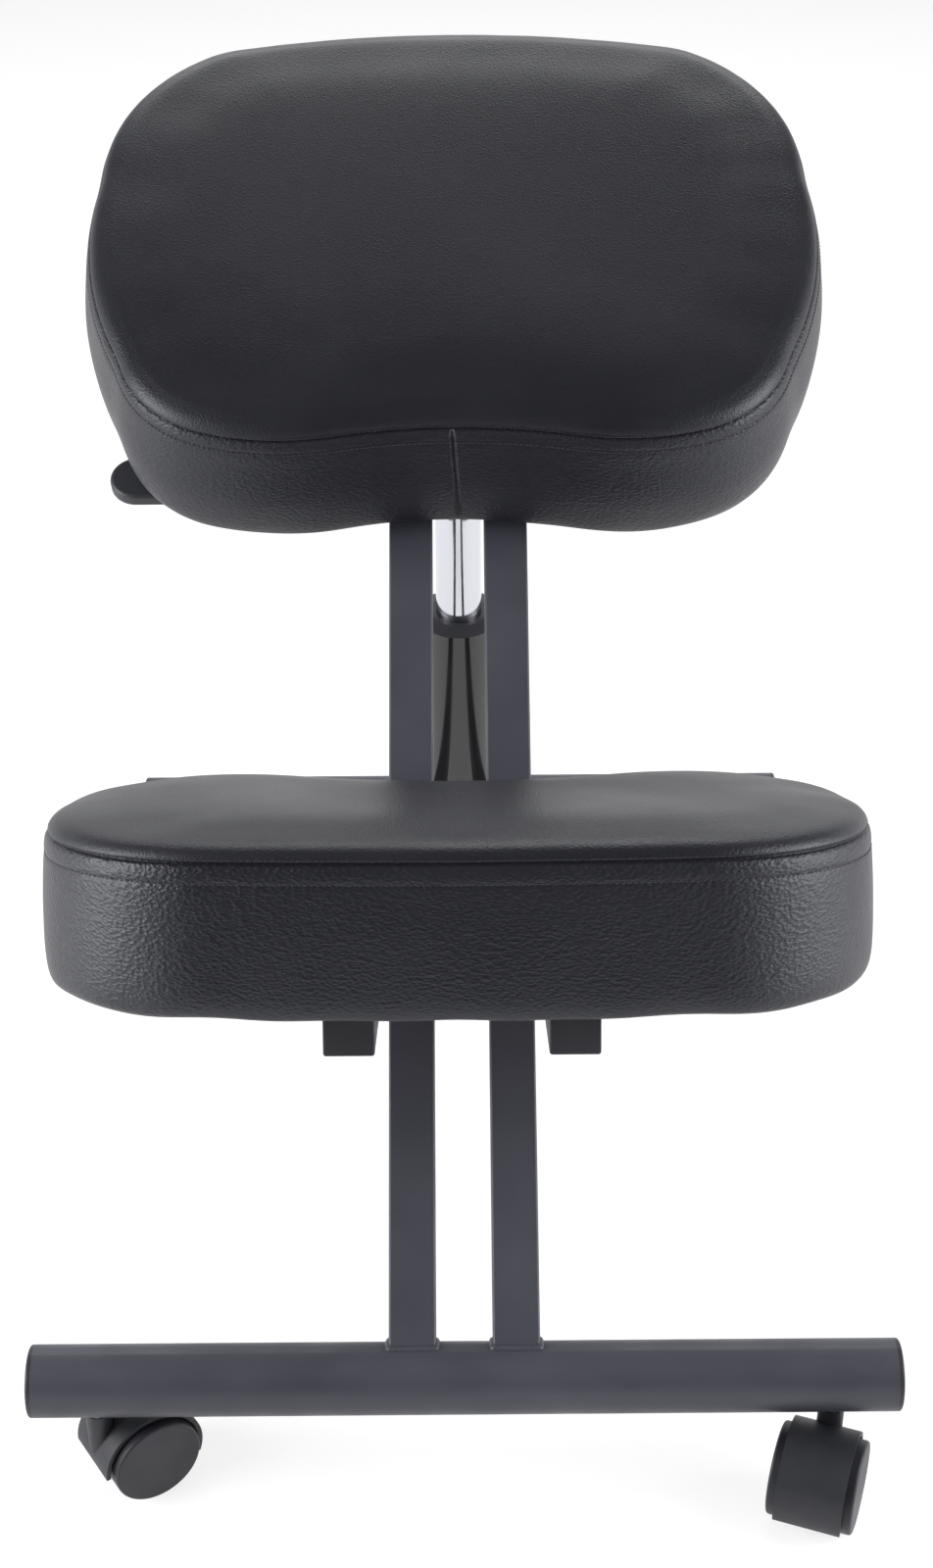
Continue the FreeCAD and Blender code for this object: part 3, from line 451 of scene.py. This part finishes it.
def swell(thing, voxel, pressure, cap, held):
    """Blow the cover up between its seams by a cloth simulation, and move this mesh with it."""
    model = thing.copy()
    model.data = thing.data.copy()
    bpy.context.scene.collection.objects.link(model)
    close_ends(model)
    remesh = model.modifiers.new("remesh", "REMESH")
    remesh.mode = "VOXEL"
    remesh.voxel_size = voxel
    apply_all(model)
    group = model.vertex_groups.new(name="held")
    for v in model.data.vertices:
        weight = held(v.co / MM)
        if weight > 0:
            group.add([v.index], weight, "REPLACE")
    start = [v.co.copy() for v in model.data.vertices]
    cloth = model.modifiers.new("cloth", "CLOTH")
    settings = cloth.settings
    settings.quality = CLOTH_QUALITY
    settings.mass = CLOTH_MASS
    settings.tension_stiffness = CLOTH_TENSION
    settings.compression_stiffness = CLOTH_TENSION
    settings.shear_stiffness = CLOTH_SHEAR
    settings.bending_stiffness = CLOTH_BENDING
    settings.use_pressure = True
    settings.uniform_pressure_force = pressure
    settings.vertex_group_mass = "held"
    settings.pin_stiffness = 1.0
    settings.effector_weights.gravity = 0.0
    cloth.collision_settings.use_collision = False
    scene = bpy.context.scene
    scene.frame_start = 1
    scene.frame_end = CLOTH_FRAMES
    cloth.point_cache.frame_start = 1
    cloth.point_cache.frame_end = CLOTH_FRAMES
    for frame_number in range(1, CLOTH_FRAMES + 1):
        scene.frame_set(frame_number)
    result = model.evaluated_get(bpy.context.evaluated_depsgraph_get())
    moved = [v.co.copy() for v in result.data.vertices]
    scene.frame_set(1)
    tree = KDTree(len(start))
    shifts = []
    for i, (a, b) in enumerate(zip(start, moved)):
        tree.insert(a, i)
        shift = b - a
        if shift.length > cap * MM:
            shift *= cap * MM / shift.length
        shifts.append(shift)
    tree.balance()
    for v in thing.data.vertices:
        total = Vector()
        weights = 0.0
        for _, i, distance in tree.find_n(v.co, NEAR_POINTS):
            w = bell(distance, NEAR_REACH * MM) + FAR_WEIGHT
            total += shifts[i] * w
            weights += w
        v.co += total / weights
    bpy.data.objects.remove(model)


def finish_cover(thing, turn, seam, node, body):
    """Smooth a cover, grain its band and top, carry it to its slope, and let it stand for its CAD node."""
    subdivide = thing.modifiers.new("smooth", "SUBSURF")
    subdivide.levels = 1
    subdivide.render_levels = 1
    apply_all(thing)
    close_ends(thing)
    thing.data.materials.append(LEATHER)
    thing.data.materials.append(LEATHER_TOP)
    for polygon in thing.data.polygons:
        polygon.use_smooth = True
        polygon.material_index = 1 if polygon.center.z > seam * MM else 0
    thing.data.transform(turn)
    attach(thing, body)
    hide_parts(node)


# A stitch's cross sections, as shares of its length and of its radius
STITCH_RINGS = ((-0.5, 0.25), (-0.38, 0.8), (-0.12, 1.0), (0.12, 1.0), (0.38, 0.8), (0.5, 0.25))
STITCH_SIDES = 6


def stitches(name, cover, turn, lines, body):
    """Rows of sewn stitches that lie in a cover's surface. A line is a list of points on its slope."""
    tree = BVHTree.FromPolygons(
        [v.co for v in cover.data.vertices], [tuple(p.vertices) for p in cover.data.polygons]
    )
    bm = bmesh.new()
    for line, pitch, length, radius, sunk in lines:
        path = [turn @ (Vector(p) * MM) for p in line]
        run = 0.0
        next_at = 0.0
        for a, b in zip(path, path[1:]):
            piece = (b - a).length
            while next_at <= run + piece:
                centre = a.lerp(b, (next_at - run) / piece if piece > 0 else 0.0)
                next_at += pitch * MM
                spot, normal, _, _ = tree.find_nearest(centre)
                if spot is None:
                    continue
                way = (b - a).normalized()
                way = (way - normal * way.dot(normal)).normalized()
                side = normal.cross(way)
                base = spot - normal * sunk * MM
                rings = []
                for along, wide in STITCH_RINGS:
                    lift = (1 - (2 * along) ** 2) * radius * 0.5
                    ring = []
                    for k in range(STITCH_SIDES):
                        angle = math.tau * k / STITCH_SIDES
                        ring.append(bm.verts.new(
                            base + way * along * length * MM + normal * lift * MM
                            + (side * math.cos(angle) + normal * math.sin(angle)) * radius * wide * MM
                        ))
                    rings.append(ring)
                for low, high in zip(rings, rings[1:]):
                    for k in range(STITCH_SIDES):
                        m = (k + 1) % STITCH_SIDES
                        bm.faces.new((low[k], low[m], high[m], high[k]))
                bm.faces.new(list(reversed(rings[0])))
                bm.faces.new(rings[-1])
            run += piece
    bmesh.ops.recalc_face_normals(bm, faces=bm.faces[:])
    mesh = bpy.data.meshes.new(name)
    bm.to_mesh(mesh)
    bm.free()
    thing = bpy.data.objects.new(name, mesh)
    bpy.context.scene.collection.objects.link(thing)
    for polygon in mesh.polygons:
        polygon.use_smooth = True
    mesh.materials.append(THREAD)
    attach(thing, body)
    return thing


LINE_POINTS = 480


def ring_line(outline, height, out):
    """Points of a closed line round an outline, for stitches."""
    found = []
    for i in range(LINE_POINTS + 1):
        place, normal = outline.at(outline.length * i / LINE_POINTS)
        found.append((place.x + normal.x * out, place.y + normal.y * out, height))
    return found


def crown_levels(edge_height, top, edge_out, reach, count):
    """Levels of the flat top, from the roll's end to the middle."""
    found = []
    for i in range(1, count + 1):
        t = i / (count + 0.35)
        scale = 1 - t
        rise = (top - edge_height) * (1 - (1 - min(t * reach, 1.0)) ** 2)
        found.append((edge_height + rise, edge_out, scale))
    return found


JOIN_STEPS = (-7.0, -5.0, -3.6, -2.6, -1.8, -1.2, -0.6, 0.0, 0.6, 1.2, 1.8, 2.6, 3.6, 5.0, 7.0)

seat_line = Outline(SEAT_OUTLINE, 6.0, 334.0, 10.0)
pad_line = Outline(PAD_OUTLINE, 0.0, 176.0, 8.0)

SEAT_LEVELS = [
    (-51.0, -24.0, 1.0), (-51.0, -14.6, 1.0), (-52.0, -13.7, 1.0), (-57.0, -13.6, 1.0), (-62.6, -13.6, 1.0),
    (-64.2, -12.9, 1.0), (-64.8, -11.0, 1.0), (-65.0, -7.0, 1.0), (-64.9, -2.0, 1.0), (-64.3, 1.2, 1.0),
    (-62.6, 3.6, 1.0), (-59.5, 5.4, 1.0), (-55.0, 6.7, 1.0), (-50.0, 7.3, 1.0), (-44.0, 7.6, 1.0),
    (-38.0, 7.3, 1.0), (-32.0, 6.6, 1.0), (-26.0, 5.7, 1.0), (-20.0, 4.7, 1.0), (-15.5, 4.0, 1.0),
    (-11.8, 3.4, 1.0), (-9.4, 2.9, 1.0), (-8.2, 2.5, 1.0), (-7.5, 2.05, 1.0), (-6.8, 2.3, 1.0),
    (-5.6, 2.4, 1.0), (-3.8, 1.9, 1.0), (-2.2, 1.3, 1.0), (-1.1, 0.7, 1.0), (-0.45, -0.4, 1.0),
    (0.0, -1.9, 1.0), (0.5, -0.7, 1.0), (1.3, 0.0, 1.0), (2.6, -0.3, 1.0), (4.4, -1.4, 1.0),
    (6.2, -3.2, 1.0), (7.8, -5.8, 1.0), (9.0, -9.2, 1.0), (10.0, -13.6, 1.0), (10.7, -18.0, 1.0),
    (11.2, -23.0, 1.0),
] + crown_levels(11.2, 13.6, -23.0, 1.6, 17)

PAD_LEVELS = [
    (13.2, -24.0, 1.0), (13.2, -14.6, 1.0), (12.2, -13.7, 1.0), (7.0, -13.6, 1.0), (1.4, -13.6, 1.0),
    (-0.2, -12.9, 1.0), (-0.8, -11.0, 1.0), (-1.0, -7.0, 1.0), (-0.9, -4.4, 1.0), (-0.3, -2.0, 1.0),
    (1.4, 0.0, 1.0), (4.5, 1.6, 1.0), (9.0, 2.5, 1.0), (14.0, 2.9, 1.0), (20.0, 3.1, 1.0),
    (27.0, 3.1, 1.0), (34.0, 3.0, 1.0), (41.0, 2.9, 1.0), (48.0, 2.6, 1.0), (54.0, 2.3, 1.0),
    (59.0, 2.0, 1.0), (62.4, 1.75, 1.0), (64.2, 1.5, 1.0), (65.0, 1.0, 1.0), (65.8, 1.4, 1.0),
    (67.4, 1.6, 1.0), (70.0, 1.4, 1.0), (72.4, 1.0, 1.0), (73.8, 0.5, 1.0), (74.5, -0.4, 1.0),
    (75.0, -1.9, 1.0), (75.6, -0.8, 1.0), (76.4, -0.3, 1.0), (77.8, -0.6, 1.0), (79.6, -1.6, 1.0),
    (81.4, -3.2, 1.0), (82.8, -5.4, 1.0), (84.0, -8.4, 1.0), (85.0, -12.6, 1.0), (85.7, -17.0, 1.0),
    (86.1, -22.0, 1.0),
] + crown_levels(86.1, 87.6, -22.0, 2.0, 15)


# How far the seat's cover stands in from its levels and hangs below them, how far its front's lower edge
# bulges and drops, and how far both covers are shifted along X
SEAT_TRIM = 2.3
SEAT_DROOP = 5.5
SEAT_FRONT_BULGE = 3.5
SEAT_FRONT_DROP = 3.5
SEAT_SHIFT = -1.5
PAD_SHIFT = -1.5

# Waves of both covers: sizes in millimetres, and turns that set how many waves run round
BAND_WAVE = 0.9
BAND_TURNS = 5.0
EDGE_TURNS = 4.0
PUCKER = 0.26
PUCKER_TURNS = 46.0
ROLL_WAVE = 0.22
ROLL_TURNS = 30.0
WAVE_WIDTH = 5.0
JOIN_WIDTH = 0.9


def seat_shape(place, normal, s, height, level_out):
    """Where a point of the seat's cover lies, with the small waves of a hand-fitted cover."""
    length = seat_line.length
    along = (s + length / 2) % length - length / 2
    out = level_out - SEAT_TRIM if level_out > -13.0 else level_out
    facing = max(-normal.y, 0.0) ** 2
    if height < -50.0:
        height -= SEAT_DROOP * bell(level_out + 1.0 - SEAT_TRIM, 7.0)
        height -= SEAT_FRONT_DROP * facing * bell(level_out - 3.0, 7.0)
    if height < -20.0 and level_out > -5.0:
        out += SEAT_FRONT_BULGE * facing * min((-20.0 - height) / 35.0, 1.0)
    if -66.0 < height < -1.0 and level_out > 0:
        lean = -2.0 + 4.0 * (-height / 64.0)
        out -= 1.7 * bell(along - lean, JOIN_WIDTH)
        out += 0.45 * bell(along - lean - 3.2, 2.2)
    if -66.0 < height < -20.0 and level_out > 0:
        out += BAND_WAVE * wave(s, length, 3.1, BAND_TURNS) * min((-20.0 - height) / 30.0, 1.0)
    if height < -50.0 and level_out > -5:
        height += 1.6 * wave(s, length, 8.7, EDGE_TURNS)
    if level_out > -12 and height > -30:
        out += bell(height + 7.5, WAVE_WIDTH) * PUCKER * wave(s, length, 5.5, PUCKER_TURNS)
    if height > 1.0:
        height += bell(height - 3.0, WAVE_WIDTH) * ROLL_WAVE * wave(s, length, 1.5, ROLL_TURNS)
    shift = SEAT_SHIFT if level_out > -12.5 or height > -50.0 else 0.0
    return place.x + normal.x * out + shift, place.y + normal.y * out, height


def pad_shape(place, normal, s, height, level_out):
    """Where a point of the knee pad's cover lies."""
    length = pad_line.length
    along = s - length / 2
    out = level_out
    if -0.5 < height < 74.0 and level_out > 0:
        out -= 1.6 * bell(along, JOIN_WIDTH)
    if -0.5 < height < 45.0 and level_out > -1:
        out += BAND_WAVE * wave(s, length, 13.1, BAND_TURNS) * min((45.0 - height) / 40.0, 1.0)
    if height < 10.0 and level_out > -5:
        height += 1.5 * wave(s, length, 18.7, EDGE_TURNS)
    if level_out > -12 and height > 40:
        out += bell(height - 65.0, WAVE_WIDTH) * PUCKER * wave(s, length, 15.5, PUCKER_TURNS)
    if height > 76.0:
        height += bell(height - 78.0, WAVE_WIDTH) * ROLL_WAVE * wave(s, length, 11.5, ROLL_TURNS)
    shift = PAD_SHIFT if level_out > -12.5 or height > 15.0 else 0.0
    return place.x + normal.x * out + shift, place.y + normal.y * out, height


SEAT_SEAM = 0.0
PAD_SEAM = 75.0
HELD_WIDTH = 2.2
SEAT_HELD_BELOW = -58.0
PAD_HELD_BELOW = 6.0


def seat_held(p):
    """Where the seat's cover can't swell: at its seam and below the board."""
    return max(bell(p.z - SEAT_SEAM, HELD_WIDTH), 1.0 if p.z < SEAT_HELD_BELOW else 0.0)


def pad_held(p):
    """Where the knee pad's cover can't swell."""
    return max(bell(p.z - PAD_SEAM, HELD_WIDTH), 1.0 if p.z < PAD_HELD_BELOW else 0.0)


STATION_SPACING = 5.5
SEAT_MIDDLE = (0.0, 165.0)
PAD_MIDDLE = (0.0, 96.0)
VOXEL = 5.0
PRESSURE = 2.0
SWELL_CAP = 1.5

# Rows of stitches: pitch, stitch length, thread radius and how deep the thread lies
BAND_ROW = (2.9, 2.2, 0.34, 0.05)
SEAM_ROW = (2.9, 1.8, 0.26, 0.10)


def build_cushions():
    seat_spots = spots(seat_line, STATION_SPACING, 0.0, JOIN_STEPS)
    pad_spots = spots(pad_line, STATION_SPACING, pad_line.length / 2, JOIN_STEPS)
    seat = ring_mesh("seat_cover", seat_line, seat_spots, SEAT_LEVELS, SEAT_MIDDLE, seat_shape)
    pad = ring_mesh("knee_pad_cover", pad_line, pad_spots, PAD_LEVELS, PAD_MIDDLE, pad_shape)
    swell(seat, VOXEL * MM, PRESSURE, SWELL_CAP, seat_held)
    swell(pad, VOXEL * MM, PRESSURE, SWELL_CAP, pad_held)
    finish_cover(seat, SEAT_TURN, SEAT_SEAM, "seat_cushion", "seat_frame")
    finish_cover(pad, PAD_TURN, PAD_SEAM, "knee_pad_cushion", "knee_frame")
    stitches("seat_stitching", seat, SEAT_TURN, [
        (ring_line(seat_line, -7.5, 2.4), *BAND_ROW),
        (ring_line(seat_line, 0.9, -0.6), *SEAM_ROW),
    ], "seat_frame")
    stitches("knee_pad_stitching", pad, PAD_TURN, [
        (ring_line(pad_line, 65.0, 1.4), *BAND_ROW),
        (ring_line(pad_line, 75.9, -0.8), *SEAM_ROW),
    ], "knee_frame")


build_cushions()


# Small pieces that the CAD model leaves out

def new_thing(name, bm, material, body, smooth):
    """Object from a bmesh that rides on a body."""
    bmesh.ops.recalc_face_normals(bm, faces=bm.faces[:])
    mesh = bpy.data.meshes.new(name)
    bm.to_mesh(mesh)
    bm.free()
    thing = bpy.data.objects.new(name, mesh)
    bpy.context.scene.collection.objects.link(thing)
    for polygon in mesh.polygons:
        polygon.use_smooth = smooth
    mesh.materials.append(material)
    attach(thing, body)


TUBE_RADIUS = 19.0
ARM_HALF = 12.5
TUBE_HEIGHT = 80.0
WELD_RADIUS = 2.0
WELD_STATIONS = 176
WELD_SIDES = 10


def welds(name, axis_y, way_y, slope, arms_x, body):
    """Rippled beads where the square arms meet a round cross tube."""
    rise = math.radians(slope)
    way = Vector((0.0, way_y * math.cos(rise), math.sin(rise)))
    over = Vector((0.0, -way_y * math.sin(rise), math.cos(rise)))
    bm = bmesh.new()
    for arm_x in arms_x:
        path = []
        for i in range(WELD_STATIONS):
            t = 4.0 * i / WELD_STATIONS
            side, along = int(t), 2 * (t - int(t)) - 1
            u, v = [(along, -1), (1, along), (-along, 1), (-1, -along)][side]
            reach = math.sqrt(TUBE_RADIUS ** 2 - (v * ARM_HALF) ** 2)
            middle = Vector((arm_x + u * ARM_HALF, axis_y, TUBE_HEIGHT))
            path.append(middle + over * v * ARM_HALF + way * reach)
        rings = []
        for i, place in enumerate(path):
            heading = (path[(i + 2) % WELD_STATIONS] - path[i - 2]).normalized()
            side = heading.cross(way).normalized()
            up = side.cross(heading)
            ripple = 0.86 + 0.14 * abs(math.sin(math.pi * i / 4)) + 0.10 * noise.noise(place * 0.25)
            ring = []
            for k in range(WELD_SIDES):
                angle = math.tau * k / WELD_SIDES
                spot = place + (side * math.cos(angle) + up * math.sin(angle)) * WELD_RADIUS * ripple
                ring.append(bm.verts.new(spot * MM))
            rings.append(ring)
        for i, low in enumerate(rings):
            high = rings[(i + 1) % WELD_STATIONS]
            for k in range(WELD_SIDES):
                m = (k + 1) % WELD_SIDES
                bm.faces.new((low[k], low[m], high[m], high[k]))
    new_thing(name, bm, POWDER, body, True)


HALF_WHEELBASE = 285.0
SEAT_ARM_ANGLE = 42.2
SEAT_ARM_X = 27.5
KNEE_ARM_ANGLE = 22.0
KNEE_ARM_X = 54.5

welds("front_welds", -HALF_WHEELBASE, 1, SEAT_ARM_ANGLE, (-SEAT_ARM_X, SEAT_ARM_X), "seat_frame")
welds("rear_welds", HALF_WHEELBASE, -1, KNEE_ARM_ANGLE, (-KNEE_ARM_X, KNEE_ARM_X), "knee_frame")

HEM_OUTER = 15.0
HEM_INNER = 33.0
HEM_THICKNESS = 0.9
HEM_STEP = 3.0
HEM_WAVE = 1.2
STAPLE_LINE = 26.0
STAPLE_EVERY = 8
STAPLE_LENGTH = 10.0
STAPLE_WIDTH = 1.1
STAPLE_HEIGHT = 0.7
STAPLE_SUNK = 0.2


def box(bm, centre, way, over, length, width, low, high, turn):
    """Small block in a slope's frame, along a direction in its plane."""
    corners = []
    for z in (low, high):
        for a, b in ((-1, -1), (1, -1), (1, 1), (-1, 1)):
            p = centre + way * a * length / 2 + over * b * width / 2
            corners.append(bm.verts.new(turn @ (Vector((p.x, p.y, z)) * MM)))
    for face in ((3, 2, 1, 0), (4, 5, 6, 7), (0, 1, 5, 4), (1, 2, 6, 5), (2, 3, 7, 6), (3, 0, 4, 7)):
        bm.faces.new([corners[i] for i in face])


def hem(kind, line, turn, under, clear, body):
    """Strip of leatherette turned under a board and its staples, left out where clear(x, y) says so."""
    strip = bmesh.new()
    staples = bmesh.new()
    count = round(line.length / HEM_STEP)
    before = None
    for i in range(count + 1):
        place, normal = line.at(line.length * i / count)
        middle = place - normal * STAPLE_LINE
        if clear(middle.x, middle.y):
            before = None
            continue
        inner = HEM_INNER + HEM_WAVE * wave(line.length * i / count, line.length, 21.0, 9.0)
        column = []
        for inset, z in ((HEM_OUTER, under), (HEM_OUTER, under - HEM_THICKNESS),
                         (inner, under - HEM_THICKNESS), (inner, under)):
            p = place - normal * inset
            column.append(strip.verts.new(turn @ (Vector((p.x, p.y, z)) * MM)))
        if before is not None:
            for k in range(4):
                m = (k + 1) % 4
                strip.faces.new((before[k], before[m], column[m], column[k]))
        before = column
        if i % STAPLE_EVERY == 0:
            way = Vector((-normal.y, normal.x))
            face = under - HEM_THICKNESS
            low, high = face - STAPLE_HEIGHT, face + STAPLE_SUNK
            box(staples, middle, way, normal, STAPLE_LENGTH, STAPLE_WIDTH, low, high, turn)
    new_thing(kind + "_hem", strip, LEATHER, body, False)
    new_thing(kind + "_staples", staples, ZINC, body, False)


SEAT_UNDERSIDE = -64.0
PAD_UNDERSIDE = 0.0


def under_brackets(x, y):
    """Where the seat brackets lie against the board's front."""
    return 32.0 < abs(x) < 84.0 and y < 100.0


def over_arms(x, y):
    """Where the knee arms run below the pad's board."""
    return 36.0 < abs(x) < 73.0


hem("seat", seat_line, SEAT_TURN, SEAT_UNDERSIDE, under_brackets, "seat_frame")
hem("knee_pad", pad_line, PAD_TURN, PAD_UNDERSIDE, over_arms, "knee_frame")


# Studio

FLOOR_GLOW = 0.73
FLOOR_COLOR = (0.42, 0.42, 0.43, 1.0)
WHITE = (1.0, 1.0, 1.0, 1.0)
MIRRORED_COLOR = (0.97, 0.98, 1.0, 1.0)
PLAIN_LIGHT = 0.32


def build_stage():
    bpy.ops.mesh.primitive_plane_add(size=60.0, location=(0.0, 0.0, -0.0005))
    floor = bpy.context.object
    floor.name = "floor"
    material = bpy.data.materials.new("floor")
    material.use_nodes = True
    tree = material.node_tree
    shader = tree.nodes["Principled BSDF"]
    shader.inputs["Base Color"].default_value = FLOOR_COLOR
    shader.inputs["Roughness"].default_value = 0.9
    shader.inputs["Specular IOR Level"].default_value = 0.0
    light_path = tree.nodes.new("ShaderNodeLightPath")
    glow = tree.nodes.new("ShaderNodeEmission")
    glow.inputs["Color"].default_value = WHITE
    seen = tree.nodes.new("ShaderNodeMath")
    seen.operation = "MAXIMUM"
    tree.links.new(light_path.outputs["Is Camera Ray"], seen.inputs[0])
    tree.links.new(light_path.outputs["Is Glossy Ray"], seen.inputs[1])
    seen_too = tree.nodes.new("ShaderNodeMath")
    seen_too.operation = "MAXIMUM"
    tree.links.new(seen.outputs[0], seen_too.inputs[0])
    tree.links.new(light_path.outputs["Is Transmission Ray"], seen_too.inputs[1])
    strength = tree.nodes.new("ShaderNodeMath")
    strength.operation = "MULTIPLY"
    strength.inputs[1].default_value = FLOOR_GLOW
    tree.links.new(seen_too.outputs[0], strength.inputs[0])
    tree.links.new(strength.outputs[0], glow.inputs["Strength"])
    add = tree.nodes.new("ShaderNodeAddShader")
    tree.links.new(shader.outputs["BSDF"], add.inputs[0])
    tree.links.new(glow.outputs["Emission"], add.inputs[1])
    tree.links.new(add.outputs["Shader"], tree.nodes["Material Output"].inputs["Surface"])
    floor.data.materials.append(material)


def fade(tree, value, low, high, at_low, at_high):
    """Value that runs from at_low to at_high while the input runs from low to high."""
    node = tree.nodes.new("ShaderNodeMapRange")
    node.interpolation_type = "SMOOTHSTEP"
    node.inputs["From Min"].default_value = low
    node.inputs["From Max"].default_value = high
    node.inputs["To Min"].default_value = at_low
    node.inputs["To Max"].default_value = at_high
    tree.links.new(value, node.inputs["Value"])
    return node.outputs["Result"]


def build_world():
    world = bpy.data.worlds.new("studio")
    bpy.context.scene.world = world
    world.use_nodes = True
    tree = world.node_tree
    tree.nodes.clear()
    path = tree.nodes.new("ShaderNodeLightPath")
    seen = tree.nodes.new("ShaderNodeMath")
    seen.operation = "MAXIMUM"
    tree.links.new(path.outputs["Is Camera Ray"], seen.inputs[0])
    tree.links.new(path.outputs["Is Transmission Ray"], seen.inputs[1])
    plain = tree.nodes.new("ShaderNodeBackground")
    plain.inputs["Color"].default_value = WHITE
    plain.inputs["Strength"].default_value = PLAIN_LIGHT
    white = tree.nodes.new("ShaderNodeBackground")
    white.inputs["Color"].default_value = WHITE
    white.inputs["Strength"].default_value = 1.0
    coord = tree.nodes.new("ShaderNodeTexCoord")
    split = tree.nodes.new("ShaderNodeSeparateXYZ")
    tree.links.new(coord.outputs["Generated"], split.inputs["Vector"])
    up = fade(tree, split.outputs["Z"], 0.10, 0.50, 1.0, 0.10)
    front = fade(tree, split.outputs["Y"], -0.85, -0.25, 0.12, 1.0)
    both = tree.nodes.new("ShaderNodeMath")
    both.operation = "MULTIPLY"
    tree.links.new(up, both.inputs[0])
    tree.links.new(front, both.inputs[1])
    mirrored = tree.nodes.new("ShaderNodeBackground")
    mirrored.inputs["Color"].default_value = MIRRORED_COLOR
    tree.links.new(both.outputs[0], mirrored.inputs["Strength"])
    first = tree.nodes.new("ShaderNodeMixShader")
    tree.links.new(path.outputs["Is Glossy Ray"], first.inputs["Fac"])
    tree.links.new(plain.outputs["Background"], first.inputs[1])
    tree.links.new(mirrored.outputs["Background"], first.inputs[2])
    second = tree.nodes.new("ShaderNodeMixShader")
    tree.links.new(seen.outputs[0], second.inputs["Fac"])
    tree.links.new(first.outputs["Shader"], second.inputs[1])
    tree.links.new(white.outputs["Background"], second.inputs[2])
    output = tree.nodes.new("ShaderNodeOutputWorld")
    tree.links.new(second.outputs["Shader"], output.inputs["Surface"])


def softbox(name, place, aim, size, power):
    light = bpy.data.lights.new(name, "AREA")
    light.shape = "RECTANGLE"
    light.size, light.size_y = size
    light.energy = power
    thing = bpy.data.objects.new(name, light)
    thing.location = place
    thing.rotation_euler = (Vector(aim) - Vector(place)).to_track_quat("-Z", "Y").to_euler()
    bpy.context.scene.collection.objects.link(thing)


SIDE_AIM = (0.0, -0.1, 0.40)
BACK_AIM = (0.0, 0.0, 0.4)
SIDE_SIZE = (1.2, 1.5)
BACK_SIZE = (2.4, 1.0)


def build_lights():
    softbox("soft_left", (-1.7, -0.55, 0.95), SIDE_AIM, SIDE_SIZE, 37.0)
    softbox("soft_right", (1.7, -0.45, 0.95), SIDE_AIM, SIDE_SIZE, 34.0)
    softbox("soft_back", (0.0, 2.2, 2.0), BACK_AIM, BACK_SIZE, 26.0)


CAMERA_PLACE = (0.0, -1.175, 1.007)
CAMERA_DOWN = 32.0
CAMERA_YAW = 0.0
CAMERA_ROLL = -0.45
CAMERA_SHIFT = 0.0041
CAMERA_LENS = 54.0
CAMERA_SENSOR = 36.0


def build_camera():
    camera = bpy.data.cameras.new("camera")
    camera.sensor_width = CAMERA_SENSOR
    camera.lens = CAMERA_LENS
    camera.clip_start = 0.05
    camera.clip_end = 60.0
    thing = bpy.data.objects.new("camera", camera)
    thing.location = CAMERA_PLACE
    thing.rotation_mode = "XYZ"
    pitch = math.radians(90.0 - CAMERA_DOWN)
    look = Matrix.Rotation(math.radians(CAMERA_YAW), 3, "Z") @ Matrix.Rotation(pitch, 3, "X")
    look = look @ Matrix.Rotation(math.radians(CAMERA_ROLL), 3, "Z")
    thing.rotation_euler = look.to_euler()
    camera.shift_x = CAMERA_SHIFT
    bpy.context.scene.collection.objects.link(thing)
    bpy.context.scene.camera = thing


build_stage()
build_world()
build_lights()
build_camera()

bpy.context.scene.view_settings.view_transform = "Standard"
